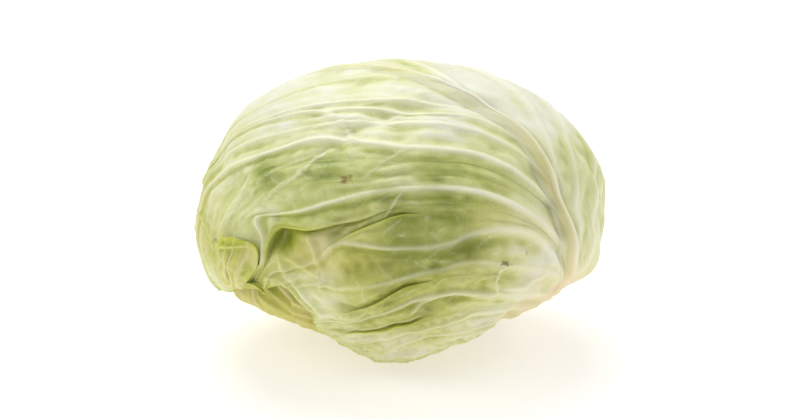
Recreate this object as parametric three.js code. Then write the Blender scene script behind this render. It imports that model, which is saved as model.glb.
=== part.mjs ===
// A pale green cabbage head lying on its side, as trimmed for the kitchen: four wrapper leaves and
// two inner leaves folded one over the other round a dense heart, and the short cut stem that
// their feet stand round.
//
// Millimetres. +X runs towards the stem end, +Z is up, and the origin is the middle of the small
// flat spot that the head rests on.
//
// How the shapes are made: every leaf is drawn flat, as a growing leaf would be, and is then wrapped
// round the head. Directions from the middle of the head are handled on a unit sphere whose poles
// are the stem and the point where the leaf tips meet. Each leaf lies on whatever is under it.
import * as THREE from "three";

// ---- The head as a whole -------------------------------------------------------------------------
const HALF_LENGTH = 90; // along X, before the swells
const HALF_DEPTH = 80; // along Y
const HALF_HEIGHT = 64.5; // along Z
const RIM_LEAN = 22; // degrees that the head's widest rim leans back from upright

// Swells and dips round the leaning rim: degrees round it from +X, width in degrees, share of radius.
const SWELLS = [
  { at: 0, width: 24, rise: 0.06 },
  { at: 30, width: 22, rise: 0.07 },
  { at: 60, width: 22, rise: 0.06 },
  { at: 90, width: 22, rise: 0.06 },
  { at: 120, width: 22, rise: 0.07 },
  { at: 150, width: 22, rise: 0.09 },
  { at: 180, width: 22, rise: -0.01 },
  { at: 205, width: 20, rise: 0.15 },
  { at: 232, width: 16, rise: -0.21 },
  { at: 265, width: 20, rise: 0.12 },
  { at: 292, width: 16, rise: -0.07 },
  { at: 316, width: 13, rise: -0.2 },
  { at: 338, width: 14, rise: 0.07 },
];
const STEM_TOWARD = [0.814, 0.026, -0.581]; // from the middle of the head to the cut stem
const TIPS_TOWARD = [-0.781, -0.619, -0.087]; // from the middle of the head to where the tips meet

// ---- Leaves ----------------------------------------------------------------------------------------
const LEAF_SCALE = 80; // radius that the flat leaf drawings are wrapped round
const BLADE = 1.1; // blade thickness
const LAYER_GAP = 2.3; // air between one leaf and the next
const FOLLOW = 7; // degrees within which a leaf spreads over a step under it
const RIB_SINK = 0.18; // half width of a side rib, as a share of the space between two ribs
const CREASE = 0.1; // width of the steep side of a crease, as a share of the same space
const MIDRIB_RISE = 3.4; // how far a wrapper leaf's midrib stands out at its foot
const SIDE_RIB_RISE = 1.4; // and a side rib where it leaves the midrib
const QUILT = 0.7; // swell of the blade between two ribs
const EDGE_WAVE = 0.9; // half height of the waves along a free edge
const FOOT_HALF = 21; // half width of a leaf's foot in its drawing
const STALK_HALF = 7; // half width of the bundle of ribs where it has left the foot

// ---- Stem, heart and resting spot ------------------------------------------------------------------
const STEM_RADIUS = 14;
const STEM_FLARE = 1.12; // how much wider its outer end is than its inner end
const STEM_SHOWS = 3; // how far the cut end stands out of the ring of feet
const STEM_SUNK = 12; // how far the stem's inner end lies under that ring
const STEM_SIDES = 28;
const HEART_COLUMNS = 36;
const HEART_ROWS = 18;
const HEART_FOLD = 1.6; // step where one tight leaf of the heart laps over the next
const CLEARANCE = 0.6; // between the heart and the stem
const PROUD = 1.4; // how far the highest ribs stand out of the even outer form
const REST_HEIGHT = 66; // the underside is pressed flat at this distance under the middle
const REST_AT = [-1, 3]; // X and Y of the middle of the resting spot, from the middle of the head
const REST_REACH = [24, 40]; // distances from that spot at which the pressing starts to fade and ends
// What fills the underside out round that spot: direction from the middle, width in degrees, share of radius.
const REST_SWELLS = [
  { toward: [0, 0.36, -0.93], width: 14, rise: 0.055 },
  { toward: [0.38, 0.08, -0.92], width: 12, rise: 0.045 },
  { toward: [-0.38, 0.08, -0.92], width: 12, rise: 0.055 },
];
const REST_TRIM = 1.2; // what is pressed off the lowest points to make the spot flat

const RAD = Math.PI / 180;
const { cos, sin, atan2, sqrt, exp, hypot, min, max, abs, PI } = Math;
const vec = (x, y, z) => new THREE.Vector3(x, y, z);
const mix = (a, b, t) => a + (b - a) * t;
const clamp01 = (t) => min(1, max(0, t));
const ease = (t) => clamp01(t) ** 2 * (3 - 2 * clamp01(t));

// ---- The head's outer form, as a radius in each direction --------------------------------------------
const rimUp = vec(0, sin(RIM_LEAN * RAD), cos(RIM_LEAN * RAD));
const onRim = (at) => vec(1, 0, 0).multiplyScalar(cos(at * RAD)).addScaledVector(rimUp, sin(at * RAD));
const swells = [
  ...SWELLS.map(({ at, width, rise }) => ({ toward: onRim(at), width: width * RAD, rise })),
  ...REST_SWELLS.map(({ toward, width, rise }) => ({ toward: vec(...toward).normalize(), width: width * RAD, rise })),
];

function outerRadius(d) {
  const plain = 1 / sqrt((d.x / HALF_LENGTH) ** 2 + (d.y / HALF_DEPTH) ** 2 + (d.z / HALF_HEIGHT) ** 2);
  const swell = swells.reduce((sum, { toward, width, rise }) => {
    return sum + rise * exp(-((d.angleTo(toward) / width) ** 2) / 2);
  }, 1);
  return softMin(plain * swell, d.z < -0.1 ? REST_HEIGHT / -d.z : Infinity);
}

// The smaller of two lengths, with the corner between them rounded off.
function softMin(a, b, round = 1.5) {
  const t = clamp01(0.5 + (b - a) / (2 * round));
  return b === Infinity ? a : mix(b, a, t) - round * t * (1 - t);
}

// ---- Growth directions: the sphere whose poles are the stem and the leaf tips ------------------------
// The two ends of the head are not opposite each other, because it bends down at both. On the growth
// sphere they are. Drawing all directions towards the bend turns one sphere into the other and keeps
// small shapes true.
const stemward = vec(...STEM_TOWARD).normalize();
const tipward = vec(...TIPS_TOWARD).normalize();
const growthAxis = stemward.clone().sub(tipward).normalize();
const bendToward = stemward.clone().add(tipward).normalize();
const bend = sqrt((stemward.dot(tipward) + 1) / 2);
const faceOut = vec(0, -cos(RIM_LEAN * RAD), sin(RIM_LEAN * RAD)); // the side that shows, longitude 0
const longitudeZero = faceOut.clone().addScaledVector(growthAxis, -faceOut.dot(growthAxis)).normalize();
const longitudeNinety = growthAxis.clone().cross(longitudeZero);

function growthDirection(longitude, latitude) {
  const side = longitudeZero.clone().multiplyScalar(cos(longitude * RAD));
  side.addScaledVector(longitudeNinety, sin(longitude * RAD)).multiplyScalar(sin(latitude * RAD));
  return side.addScaledVector(growthAxis, cos(latitude * RAD));
}

function headDirection(g) {
  const along = g.dot(bendToward);
  const drawn = g.clone().addScaledVector(bendToward, -along).multiplyScalar(sqrt(1 - bend * bend));
  return drawn.addScaledVector(bendToward, along + bend).divideScalar(1 + bend * along);
}

const latitudeOf = (g) => g.angleTo(growthAxis) / RAD;
const longitudeOf = (g) => atan2(g.dot(longitudeNinety), g.dot(longitudeZero)) / RAD;

// ---- Flat leaves -------------------------------------------------------------------------------------
// A leaf's flat drawing has its foot at the bottom. X runs across it and Y towards its tip. It is
// wrapped round the growth sphere by a stereographic projection about the drawing's origin.
function leafFrame(longitude, latitude, turn = 0) {
  const centre = growthDirection(longitude, latitude);
  const up = growthAxis.clone().negate().addScaledVector(centre, growthAxis.dot(centre)).normalize();
  const side = up.clone().cross(centre);
  const along = up.clone().multiplyScalar(cos(turn * RAD)).addScaledVector(side, sin(turn * RAD));
  return { centre, along, across: along.clone().cross(centre) };
}

function wrap({ centre, along, across }, [x, y]) {
  const [u, v] = [x / LEAF_SCALE, y / LEAF_SCALE];
  const quarter = (u * u + v * v) / 4;
  const spot = centre.clone().multiplyScalar(1 - quarter).addScaledVector(across, u);
  return spot.addScaledVector(along, v).divideScalar(1 + quarter);
}

const smoothLine = (points) =>
  new THREE.CatmullRomCurve3(points.map(([x, y]) => vec(x, y, 0)), false, "centripetal");

// The wrapper leaf over the front and top. Its midrib climbs over the top of the head, and its left
// half reaches down over the front. A side rib leaves the midrib at a share of the midrib's length and
// runs through its own points to the edge. They are listed from the right foot round to the left.
const FRONT_MIDRIB = [
  [-18, -122], [-19, -92], [-14, -72], [-4, -54], [18, -38], [45, -17], [80, 9], [112, 42], [132, 84],
];
const FRONT_RIBS = [
  { leaves: 0.0, through: [[22, -116], [58, -112], [96, -92]] },
  { leaves: 0.04, through: [[10, -100], [36, -88], [70, -78], [108, -60]] },
  { leaves: 0.1, through: [[2, -76], [30, -74], [68, -64], [116, -38]] },
  { leaves: 0.2, through: [[12, -56], [40, -55], [84, -46], [134, -14]] },
  { leaves: 0.32, through: [[35, -40], [62, -38], [104, -20], [148, 16]] },
  { leaves: 0.52, through: [[70, -10], [95, 0], [125, 22], [152, 56]] },
  { midrib: true },
  { leaves: 0.56, through: [[66, 18], [74, 42], [84, 70], [100, 98], [116, 126], [130, 144]] },
  { leaves: 0.46, through: [[53, 6], [58, 22], [66, 48], [80, 82], [94, 112], [104, 140], [110, 160]] },
  { leaves: 0.35, through: [[22, -8], [25, 15], [30, 38], [42, 62], [55, 90], [62, 124], [66, 158]] },
  { leaves: 0.24, through: [[0, -34], [3, -8], [5, 28], [9, 66], [14, 96], [30, 125]] },
  {
    leaves: 0.18, through: [[-11, -48], [-12, -28], [-22, 5], [-26, 32], [-21, 60], [-14, 84], [-9, 116]],
  },
  {
    leaves: 0.13,
    through: [[-24, -55], [-28, -32], [-31, 0], [-40, 22], [-48, 45], [-46, 76], [-34, 102], [-20, 148]],
  },
  {
    leaves: 0.09,
    through: [[-30, -60], [-34, -32], [-40, 6], [-49, 32], [-62, 57], [-70, 76], [-66, 98], [-40, 142]],
    crease: { from: 0.42, to: 0.95, rise: 4.0 },
  },
  { leaves: 0.06, through: [[-38, -62], [-48, -28], [-60, 8], [-72, 45], [-82, 80], [-78, 118]] },
  {
    leaves: 0.03, through: [[-44, -72], [-62, -34], [-76, 8], [-92, 40], [-104, 66], [-108, 108]],
    crease: { from: 0.4, to: 0.98, rise: 3.4 },
  },
  { leaves: 0.02, through: [[-48, -86], [-80, -54], [-112, -14], [-132, 20], [-146, 56]] },
  { leaves: 0.0, through: [[-46, -104], [-76, -84], [-116, -56], [-150, -22], [-160, 14]] },
];
const FRONT_LOFT = 2.4; // extra room under the front leaf, for its creases and hollows
// Hollows of the front leaf: middle in its drawing, reach and depth.
const FRONT_HOLLOWS = [
  { at: [-8, 70], reach: 9, depth: 2.4 },
  { at: [-27, 5], reach: 9, depth: 1.6 },
  { at: [-73, 12], reach: 12, depth: 1.5 },
  { at: [18, 30], reach: 16, depth: 0.9 },
  { at: [-60, 92], reach: 12, depth: 1.4 },
];

// The other leaves share one drawing, with its ribs in pairs, and differ in size and place.
const COMMON_MIDRIB = [[0, -122], [0, -60], [0, 20], [0, 118]];
const COMMON_RIBS = [
  { leaves: 0.0, through: [[30, -119], [58, -113], [80, -96]] },
  { leaves: 0.03, through: [[38, -94], [74, -74], [104, -44]] },
  { leaves: 0.14, through: [[36, -58], [76, -30], [110, 6]] },
  { leaves: 0.3, through: [[22, -26], [60, 12], [98, 54]] },
  { leaves: 0.5, through: [[14, 10], [40, 54], [64, 96]] },
];
const mirrored = (rib) => ({ ...rib, through: rib.through.map(([x, y]) => [-x, y]) });
const commonRibs = [...COMMON_RIBS, { midrib: true }, ...COMMON_RIBS.map(mirrored).reverse()];

// From the innermost leaf to the outermost: where the middle of the drawing lies, how the leaf is
// turned, and how wide and long it is against the drawing. Rows and shares only divide the mesh.
const LEAVES = [
  { name: "inner_leaf_2", longitude: 30, turn: 10, wide: 1.0, long: 1.24, rows: 13, split: 1, wave: 0.7 },
  { name: "inner_leaf_1", longitude: -86, turn: -8, wide: 0.8, long: 1.2, rows: 18, split: 2, wave: 0.8 },
  { name: "wrapper_leaf_4", longitude: 74, turn: 8, wide: 1.2, long: 1.0, rows: 14, split: 1, wave: 1 },
  { name: "wrapper_leaf_2", longitude: 118, turn: -10, wide: 1.2, long: 1.17, rows: 15, split: 1, wave: 1 },
  { name: "wrapper_leaf_3", longitude: -142, turn: 8, wide: 0.92, long: 1.12, rows: 18, split: 2, wave: 1 },
  {
    name: "wrapper_leaf_1", longitude: -35, latitude: 92, rows: 21, split: 1, wave: 0.5,
    midrib: FRONT_MIDRIB, ribs: FRONT_RIBS, loft: FRONT_LOFT, hollows: FRONT_HOLLOWS,
  },
];

// A leaf as a function of two shares: u from its foot to its edge, along the ribs, and v across all
// the ribs from right to left, one unit from each rib to the next.
class Leaf {
  constructor(sheet) {
    const { name, longitude, latitude = 90, turn = 0, wide = 1, long = 1, rows, split, wave } = sheet;
    const { midrib = COMMON_MIDRIB, ribs = commonRibs, loft = 0, hollows = [] } = sheet;
    const foot = midrib[0][1];
    const scaled = (points) => points.map(([x, y]) => [x * wide, foot + (y - foot) * long]);
    const stalk = smoothLine(scaled(midrib));
    Object.assign(this, { name, rows, split, ribs, loft, hollows });
    this.wave = wave * EDGE_WAVE;
    this.frame = leafFrame(longitude, latitude, turn);
    this.middle = ribs.findIndex((rib) => rib.midrib);
    this.intervals = ribs.length - 1;
    this.lines = ribs.map((rib, i) => {
      const ribsBeside = i < this.middle ? this.middle : this.intervals - this.middle;
      return this.ribLine(stalk, rib, (this.middle - i) / ribsBeside, scaled);
    });
  }

  // One rib: beside the midrib for as far as it has not left it, and then its own way to the edge.
  ribLine(stalk, { leaves = 1, midrib = false, through = [] }, side, scaled) {
    const beside = (u) => {
      const [p, t] = [stalk.getPointAt(u), stalk.getTangentAt(u)];
      const offset = side * mix(STALK_HALF * (1 - 0.6 * u), FOOT_HALF, exp(-u / 0.05));
      return [p.x + t.y * offset, p.y - t.x * offset];
    };
    if (midrib) return beside;
    const start = leaves > 0.02 ? [beside(leaves - 0.02), beside(leaves)] : [beside(0)];
    const own = smoothLine([...start, ...scaled(through)]);
    return (u) => (u < leaves ? beside(u) : pair(own.getPointAt(clamp01((u - leaves) / (1 - leaves)))));
  }

  flat(u, v) {
    const i = min(this.intervals - 1, Math.floor(v));
    const at = (k) => this.lines[min(this.intervals, max(0, k))](u);
    const [p, q, r, s] = [at(i - 1), at(i), at(i + 1), at(i + 2)];
    return [0, 1].map((k) => mix(mix(q[k], r[k], v - i), catmullRom(p[k], q[k], r[k], s[k], v - i), 0.6));
  }

  direction(u, v) {
    return wrap(this.frame, this.flat(u, v));
  }

  // Where the columns of the mesh run: on each rib, at its two feet, and at the top of a crease.
  columns() {
    const between = this.ribs.slice(0, -1).flatMap(({ crease }, i) => {
      const [from, to] = [crease ? CREASE : RIB_SINK, 1 - RIB_SINK];
      return [i, ...Array.from({ length: this.split + 1 }, (_, k) => i + mix(from, to, k / this.split))];
    });
    return [...between, this.intervals];
  }

  // How far the upper face stands over a plain blade: ribs, and the swell between them.
  relief(u, v) {
    const nearest = Math.round(v);
    const midrib = MIDRIB_RISE * (1 - 0.8 * u);
    const sideRib = SIDE_RIB_RISE * (1 - 0.7 * u) * ease(u / 0.3);
    const rib = (nearest === this.middle ? midrib : sideRib) * max(0, 1 - abs(v - nearest) / RIB_SINK);
    return rib + QUILT * sin(PI * (v - Math.floor(v))) ** 2 * sin(PI * clamp01(u)) ** 2;
  }

  // How far the whole blade stands off what is under it: waved edge, creases and hollows.
  standOff(u, v) {
    const wave = this.wave * ease((u - 0.8) / 0.2) * (1 + sin(v * 2.6 + this.rows)) * 0.9;
    if (!this.loft) return wave;
    const room = this.loft * sin(PI * mix(0.12, 0.88, u)) * ease(v / 3) * ease((this.intervals - v) / 1.5);
    const creased = this.ribs.reduce((sum, rib, i) => sum + creaseHeight(rib.crease, u, v - i), 0);
    const [x, y] = this.flat(u, v);
    const hollow = this.hollows.reduce((sum, { at, reach, depth }) => {
      return sum + depth * exp(-(((x - at[0]) ** 2 + (y - at[1]) ** 2) / reach ** 2));
    }, 0);
    return wave + max(0, room + creased - hollow);
  }
}

// A crease lifts the blade on its left and lets it down on its right. Both fade towards the next rib.
function creaseHeight({ from, to, rise } = { from: 0, to: 1, rise: 0 }, u, t) {
  const strength = rise * ease((u - from) / 0.15) * ease((to - u) / 0.12);
  if (t <= 0) return -0.45 * strength * max(0, 1 + t) ** 2;
  return strength * (t < CREASE ? t / CREASE : max(0, 1 - (t - CREASE) / 1.2) ** 1.5);
}

function pair(p) {
  return [p.x, p.y];
}

function catmullRom(p, q, r, s, t) {
  return q + 0.5 * t * (r - p + t * (2 * p - 5 * q + 4 * r - s + t * (3 * (q - r) + s - p)));
}

// ---- Layers: how high the pile of leaves stands in each growth direction ------------------------------
const CELL = 2; // degrees
const MAP_ROWS = 180 / CELL;
const MAP_COLUMNS = 360 / CELL;

class HeightMap {
  constructor() {
    this.rows = Array.from({ length: MAP_ROWS }, () => new Float64Array(MAP_COLUMNS));
  }

  // A row beyond a pole is the row before it, half way round.
  at(row, column) {
    const over = row < 0 || row >= MAP_ROWS;
    const r = row < 0 ? -1 - row : row >= MAP_ROWS ? 2 * MAP_ROWS - 1 - row : row;
    const c = column + (over ? MAP_COLUMNS / 2 : 0);
    return this.rows[r][((c % MAP_COLUMNS) + MAP_COLUMNS) % MAP_COLUMNS];
  }

  sample(g) {
    const row = latitudeOf(g) / CELL - 0.5;
    const column = (longitudeOf(g) + 180) / CELL - 0.5;
    const [r, c] = [Math.floor(row), Math.floor(column)];
    const [tr, tc] = [row - r, column - c];
    const across = (k) => mix(this.at(k, c), this.at(k, c + 1), tc);
    return mix(across(r), across(r + 1), tr);
  }

  raise(g, height) {
    const row = min(MAP_ROWS - 1, Math.floor(latitudeOf(g) / CELL));
    const column = Math.floor((longitudeOf(g) + 180) / CELL) % MAP_COLUMNS;
    this.rows[row][column] = max(this.rows[row][column], height);
  }

  // Each cell becomes a sum or the highest of those near it, along the row and then across the rows.
  filter(reach, combine) {
    const passes = [
      (map, r, c, k) => map.at(r, c + k),
      (map, r, c, k) => map.at(r + k, c),
    ];
    return passes.reduce((map, read, pass) => {
      const made = new HeightMap();
      for (let r = 0; r < MAP_ROWS; r++) {
        const narrow = pass === 0 ? 1 / max(sin((r + 0.5) * CELL * RAD), 0.06) : 1;
        const span = min(Math.round((reach * narrow) / CELL), MAP_COLUMNS / 2);
        for (let c = 0; c < MAP_COLUMNS; c++) {
          made.rows[r][c] = combine((k) => read(map, r, c, k), span);
        }
      }
      return made;
    }, this);
  }

  // The bare patch round the stem takes the heights of the row at this latitude.
  filledToStem(latitude) {
    const filled = new HeightMap();
    filled.rows = this.rows.map((row, r) => this.rows[max(r, Math.round(latitude / CELL))].slice());
    return filled;
  }

  spread(reach) {
    return this.filter(reach, (read, span) => {
      let top = 0;
      for (let k = -span; k <= span; k++) top = max(top, read(k));
      return top;
    });
  }

  blur(reach) {
    return this.filter(reach, (read, span) => {
      let [sum, weights] = [0, 0];
      for (let k = -span; k <= span; k++) {
        const weight = 1 + cos((PI * k) / (span + 1));
        sum += weight * read(k);
        weights += weight;
      }
      return sum / weights;
    });
  }
}

// ---- Meshes --------------------------------------------------------------------------------------------
// A closed body from two grids of points, an upper and a lower face, joined round their edge.
function sheetGeometry(upper, lower) {
  const [rows, columns] = [upper.length, upper[0].length];
  const points = [...upper.flat(), ...lower.flat()];
  const index = [];
  const top = (r, c) => r * columns + c;
  const under = (r, c) => rows * columns + top(r, c);
  const quad = (a, b, c, d) => index.push(a, b, c, a, c, d);
  for (let r = 0; r < rows - 1; r++) {
    for (let c = 0; c < columns - 1; c++) {
      quad(top(r, c), top(r + 1, c), top(r + 1, c + 1), top(r, c + 1));
      quad(under(r, c), under(r, c + 1), under(r + 1, c + 1), under(r + 1, c));
    }
  }
  for (let c = 0; c < columns - 1; c++) {
    quad(top(0, c), top(0, c + 1), under(0, c + 1), under(0, c));
    quad(top(rows - 1, c + 1), top(rows - 1, c), under(rows - 1, c), under(rows - 1, c + 1));
  }
  for (let r = 0; r < rows - 1; r++) {
    quad(top(r + 1, 0), top(r, 0), under(r, 0), under(r + 1, 0));
    quad(top(r, columns - 1), top(r + 1, columns - 1), under(r + 1, columns - 1), under(r, columns - 1));
  }
  return indexed(points, index);
}

function indexed(points, index) {
  const geometry = new THREE.BufferGeometry();
  const numbers = points.flatMap((p) => [p.x, p.y, p.z]);
  geometry.setAttribute("position", new THREE.Float32BufferAttribute(numbers, 3));
  geometry.setIndex(index);
  geometry.computeVertexNormals();
  return geometry;
}

// Pile the leaves up once to learn how thick the pile is everywhere.
const COVER_STEPS = 150; // samples each way when a leaf is entered in the map
const leaves = LEAVES.map((sheet) => new Leaf(sheet));
let pile = new HeightMap();
for (const leaf of leaves) {
  leaf.support = pile.spread(FOLLOW).blur(FOLLOW);
  leaf.lift = (u, v, g) => leaf.support.sample(g) + LAYER_GAP + leaf.standOff(u, v);
  const next = new HeightMap();
  for (let i = 0; i <= COVER_STEPS; i++) {
    for (let j = 0; j <= COVER_STEPS; j++) {
      const [u, v] = [i / COVER_STEPS, (j / COVER_STEPS) * leaf.intervals];
      const g = leaf.direction(u, v);
      next.raise(g, leaf.lift(u, v, g) + BLADE + leaf.relief(u, v));
    }
  }
  next.rows = next.rows.map((row, r) => row.map((height, c) => max(height, pile.rows[r][c])));
  pile = next;
}
// The pile is let into the head by its own thickness, evened out, so that the outer form stays true.
// Over the resting spot it is let in exactly, so that the outer leaf comes out flat.
const evenPile = pile.filledToStem(22).spread(4).blur(9);
const exactPile = pile.blur(8);
function pileThickness(g, d) {
  const down = REST_HEIGHT / -d.z;
  const toSpot = d.z < -0.3 ? hypot(d.x * down - REST_AT[0], d.y * down - REST_AT[1]) : Infinity;
  const pressed = 1 - ease((toSpot - REST_REACH[0]) / (REST_REACH[1] - REST_REACH[0]));
  return mix(evenPile.sample(g) - PROUD, exactPile.sample(g), pressed);
}

function pointAt(g, height) {
  const d = headDirection(g);
  return d.multiplyScalar(outerRadius(d) - pileThickness(g, d) + height);
}

function leafGeometry(leaf) {
  const columns = leaf.columns();
  const [upper, lower] = [[], []];
  for (let r = 0; r <= leaf.rows; r++) {
    const u = (r / leaf.rows) ** 0.9;
    const places = columns.map((v) => {
      const g = leaf.direction(u, v);
      return { g, v, lift: leaf.lift(u, v, g) };
    });
    lower.push(places.map(({ g, lift }) => pointAt(g, lift)));
    upper.push(places.map(({ g, v, lift }) => pointAt(g, lift + BLADE + leaf.relief(u, v))));
  }
  const floor = REST_TRIM - REST_HEIGHT;
  upper.flat().forEach((p) => (p.z = max(p.z, floor)));
  lower.flat().forEach((p) => (p.z = max(p.z, floor + BLADE)));
  return sheetGeometry(upper, lower);
}

// ---- Stem and heart ------------------------------------------------------------------------------------
// The stem stands square to the ring of feet, which is the circle round the growth pole at this latitude.
const FEET_LATITUDE = 12;
const ring = Array.from({ length: 24 }, (_, i) => {
  const d = headDirection(growthDirection(i * 15, FEET_LATITUDE));
  return d.multiplyScalar(outerRadius(d));
});
const ringMiddle = ring.reduce((sum, p) => sum.add(p), vec(0, 0, 0)).divideScalar(ring.length);
const spokes = ring.map((p) => p.clone().sub(ringMiddle));
const stemAxis = spokes.reduce((sum, p, i) => {
  return sum.add(p.clone().cross(spokes[(i + 1) % spokes.length]));
}, vec(0, 0, 0)).normalize();
stemAxis.multiplyScalar(Math.sign(stemAxis.dot(ringMiddle)));

function stemGeometry() {
  const length = STEM_SUNK + STEM_SHOWS;
  const geometry = new THREE.CylinderGeometry(STEM_RADIUS * STEM_FLARE, STEM_RADIUS, length, STEM_SIDES, 3);
  const position = geometry.getAttribute("position");
  for (let i = 0; i < position.count; i++) {
    const angle = atan2(position.getZ(i), position.getX(i));
    const fluted = 1 + 0.03 * sin(5 * angle) + 0.015 * sin(11 * angle);
    position.setXYZ(i, position.getX(i) * fluted, position.getY(i), position.getZ(i) * fluted);
  }
  geometry.applyQuaternion(new THREE.Quaternion().setFromUnitVectors(vec(0, 1, 0), stemAxis));
  const middle = ringMiddle.clone().addScaledVector(stemAxis, (STEM_SHOWS - STEM_SUNK) / 2);
  return geometry.translate(middle.x, middle.y, middle.z);
}

// The heart is a ball of tight leaves, each lapping over the next. It stops short of the stem.
function heartGeometry() {
  const stop = ringMiddle.dot(stemAxis) - STEM_SUNK - CLEARANCE;
  const heartPoint = (longitude, latitude) => {
    const g = growthDirection(longitude, latitude);
    const d = headDirection(g);
    const turns = longitude / 120 + latitude / 75;
    const fold = HEART_FOLD * (Math.floor(turns) - turns) * sin(latitude * RAD) ** 0.5;
    const towardStem = d.dot(stemAxis);
    const cut = towardStem > 0.05 ? stop / towardStem : Infinity;
    return d.multiplyScalar(min(pointAt(g, fold).length(), cut));
  };
  const points = [heartPoint(0, 0), heartPoint(0, 180)];
  for (let r = 1; r < HEART_ROWS; r++) {
    for (let c = 0; c < HEART_COLUMNS; c++) {
      points.push(heartPoint((c * 360) / HEART_COLUMNS, (r * 180) / HEART_ROWS));
    }
  }
  const at = (r, c) => 2 + (r - 1) * HEART_COLUMNS + (c % HEART_COLUMNS);
  const index = [];
  for (let c = 0; c < HEART_COLUMNS; c++) {
    index.push(0, at(1, c), at(1, c + 1), 1, at(HEART_ROWS - 1, c + 1), at(HEART_ROWS - 1, c));
    for (let r = 1; r < HEART_ROWS - 1; r++) {
      index.push(at(r, c), at(r + 1, c), at(r + 1, c + 1), at(r, c), at(r + 1, c + 1), at(r, c + 1));
    }
  }
  return indexed(points, index);
}

// ---- The part ------------------------------------------------------------------------------------------
const finish = (color, roughness) => new THREE.MeshStandardMaterial({ color, roughness, metalness: 0 });
const wrapperGreen = finish(0xbdc98a, 0.45);
const innerGreen = finish(0xd6dba0, 0.45);
const heartYellow = finish(0xe4e0a8, 0.5);
const stemCream = finish(0xeddcb8, 0.7);

const part = new THREE.Group();
part.name = "cabbage_head";
part.position.set(-REST_AT[0], -REST_AT[1], REST_HEIGHT - REST_TRIM);

function add(name, geometry, material) {
  const mesh = new THREE.Mesh(geometry, material);
  mesh.name = name;
  part.add(mesh);
}

add("stem", stemGeometry(), stemCream);
add("heart", heartGeometry(), heartYellow);
for (const leaf of leaves) {
  add(leaf.name, leafGeometry(leaf), leaf.name.startsWith("inner") ? innerGreen : wrapperGreen);
}

export default part;
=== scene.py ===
"""A pale green cabbage head lying on its side, dressed for a close view.

Lengths are millimetres until a mesh is made, and the middle of the head is the origin until then. Every leaf
is drawn flat, its foot at the bottom, and wrapped round the head on a sphere of growth whose poles are the
stem and the point where the leaf tips meet. Each leaf lies on the pile of those under it.
"""
import logging
from dataclasses import dataclass, field
from enum import Enum

import bpy
import numpy as np
from mathutils import Matrix, Vector


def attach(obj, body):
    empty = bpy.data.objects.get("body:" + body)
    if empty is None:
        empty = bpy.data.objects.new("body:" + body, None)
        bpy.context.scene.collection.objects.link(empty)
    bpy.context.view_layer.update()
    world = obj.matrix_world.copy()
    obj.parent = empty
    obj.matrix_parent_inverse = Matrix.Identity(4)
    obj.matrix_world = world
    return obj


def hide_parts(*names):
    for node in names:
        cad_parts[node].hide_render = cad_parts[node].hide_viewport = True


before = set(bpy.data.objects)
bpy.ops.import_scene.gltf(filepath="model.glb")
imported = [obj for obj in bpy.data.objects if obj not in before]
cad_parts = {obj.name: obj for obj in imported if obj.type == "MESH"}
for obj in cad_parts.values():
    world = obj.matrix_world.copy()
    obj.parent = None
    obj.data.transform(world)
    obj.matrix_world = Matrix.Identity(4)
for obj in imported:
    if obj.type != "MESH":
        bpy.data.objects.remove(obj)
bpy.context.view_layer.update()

LOG = logging.getLogger("cabbage")
Array = np.ndarray

MM = 0.001  # metres
RIM_LEAN = np.radians(22.0)  # the head's rim leans back by it, so it is seen square on
LINE_POINTS = 400  # points along a smooth line
DRAWING_WIDTH = 400.0  # mm of a leaf's drawing over one unit of its UV map
MIDDLE = np.array([1.0, -3.0, 64.8])  # the middle of the head, in the frame of the part


# ---- Small tools ---------------------------------------------------------------------------------
def unit(a: Array) -> Array:
    """Vectors along the last axis at length one."""
    return a / np.maximum(np.linalg.norm(a, axis=-1, keepdims=True), 1e-12)


def ease(t: Array) -> Array:
    """Smooth step from 0 to 1: t*t*(3 - 2t), with t held between 0 and 1."""
    t = np.clip(t, 0.0, 1.0)
    return t * t * (3.0 - 2.0 * t)


def mix(a: Array, b: Array, t: Array) -> Array:
    """The value a share t of the way from a to b."""
    return a + (b - a) * t


def bell(distance: Array, reach: float) -> Array:
    """Bell curve, 1 at distance 0 and falling as exp(-(distance/reach)^2)."""
    return np.exp(-((distance / reach) ** 2))


def ripples(x: Array, y: Array, length: float, seed: int, waves: int = 14) -> Array:
    """Smooth noise of about unit height: a sum of plane waves with random directions and phases.

    Args:
        x, y: where to read it, in mm.
        length: the usual wavelength in mm.
        seed: fixes the waves.
        waves: how many waves are added.
    Returns:
        An array like x.
    """
    rng = np.random.default_rng(seed)
    height = np.zeros_like(np.asarray(x, float) + np.asarray(y, float))
    turns = rng.uniform(0, 2 * np.pi, waves)
    phases = rng.uniform(0, 2 * np.pi, waves)
    for turn, phase, stretch in zip(turns, phases, rng.uniform(0.7, 1.5, waves)):
        k = 2 * np.pi * stretch / length
        height += np.sin(k * (x * np.cos(turn) + y * np.sin(turn)) + phase)
    return height * np.sqrt(2.0 / waves)


def distance_to_path(x: Array, y: Array, path: list[tuple[float, float]]) -> tuple[Array, Array]:
    """Shortest distance from points to a polyline, and how far along it that is.

    Args:
        x, y: the points.
        path: the polyline's corners.
    Returns:
        The distance, and the share of the path's length, 0 to 1.
    """
    corners = np.array(path, float)
    steps = np.linalg.norm(np.diff(corners, axis=0), axis=1)
    before = np.concatenate([[0.0], np.cumsum(steps)])
    best = np.full(x.shape, 1e9)
    along = np.zeros(x.shape)
    for (ax, ay), (bx, by), length, start in zip(corners[:-1], corners[1:], steps, before):
        t = np.clip(((x - ax) * (bx - ax) + (y - ay) * (by - ay)) / length ** 2, 0.0, 1.0)
        d = np.hypot(x - ax - t * (bx - ax), y - ay - t * (by - ay))
        nearer = d < best
        best = np.where(nearer, d, best)
        along = np.where(nearer, (start + t * length) / before[-1], along)
    return best, along


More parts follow.
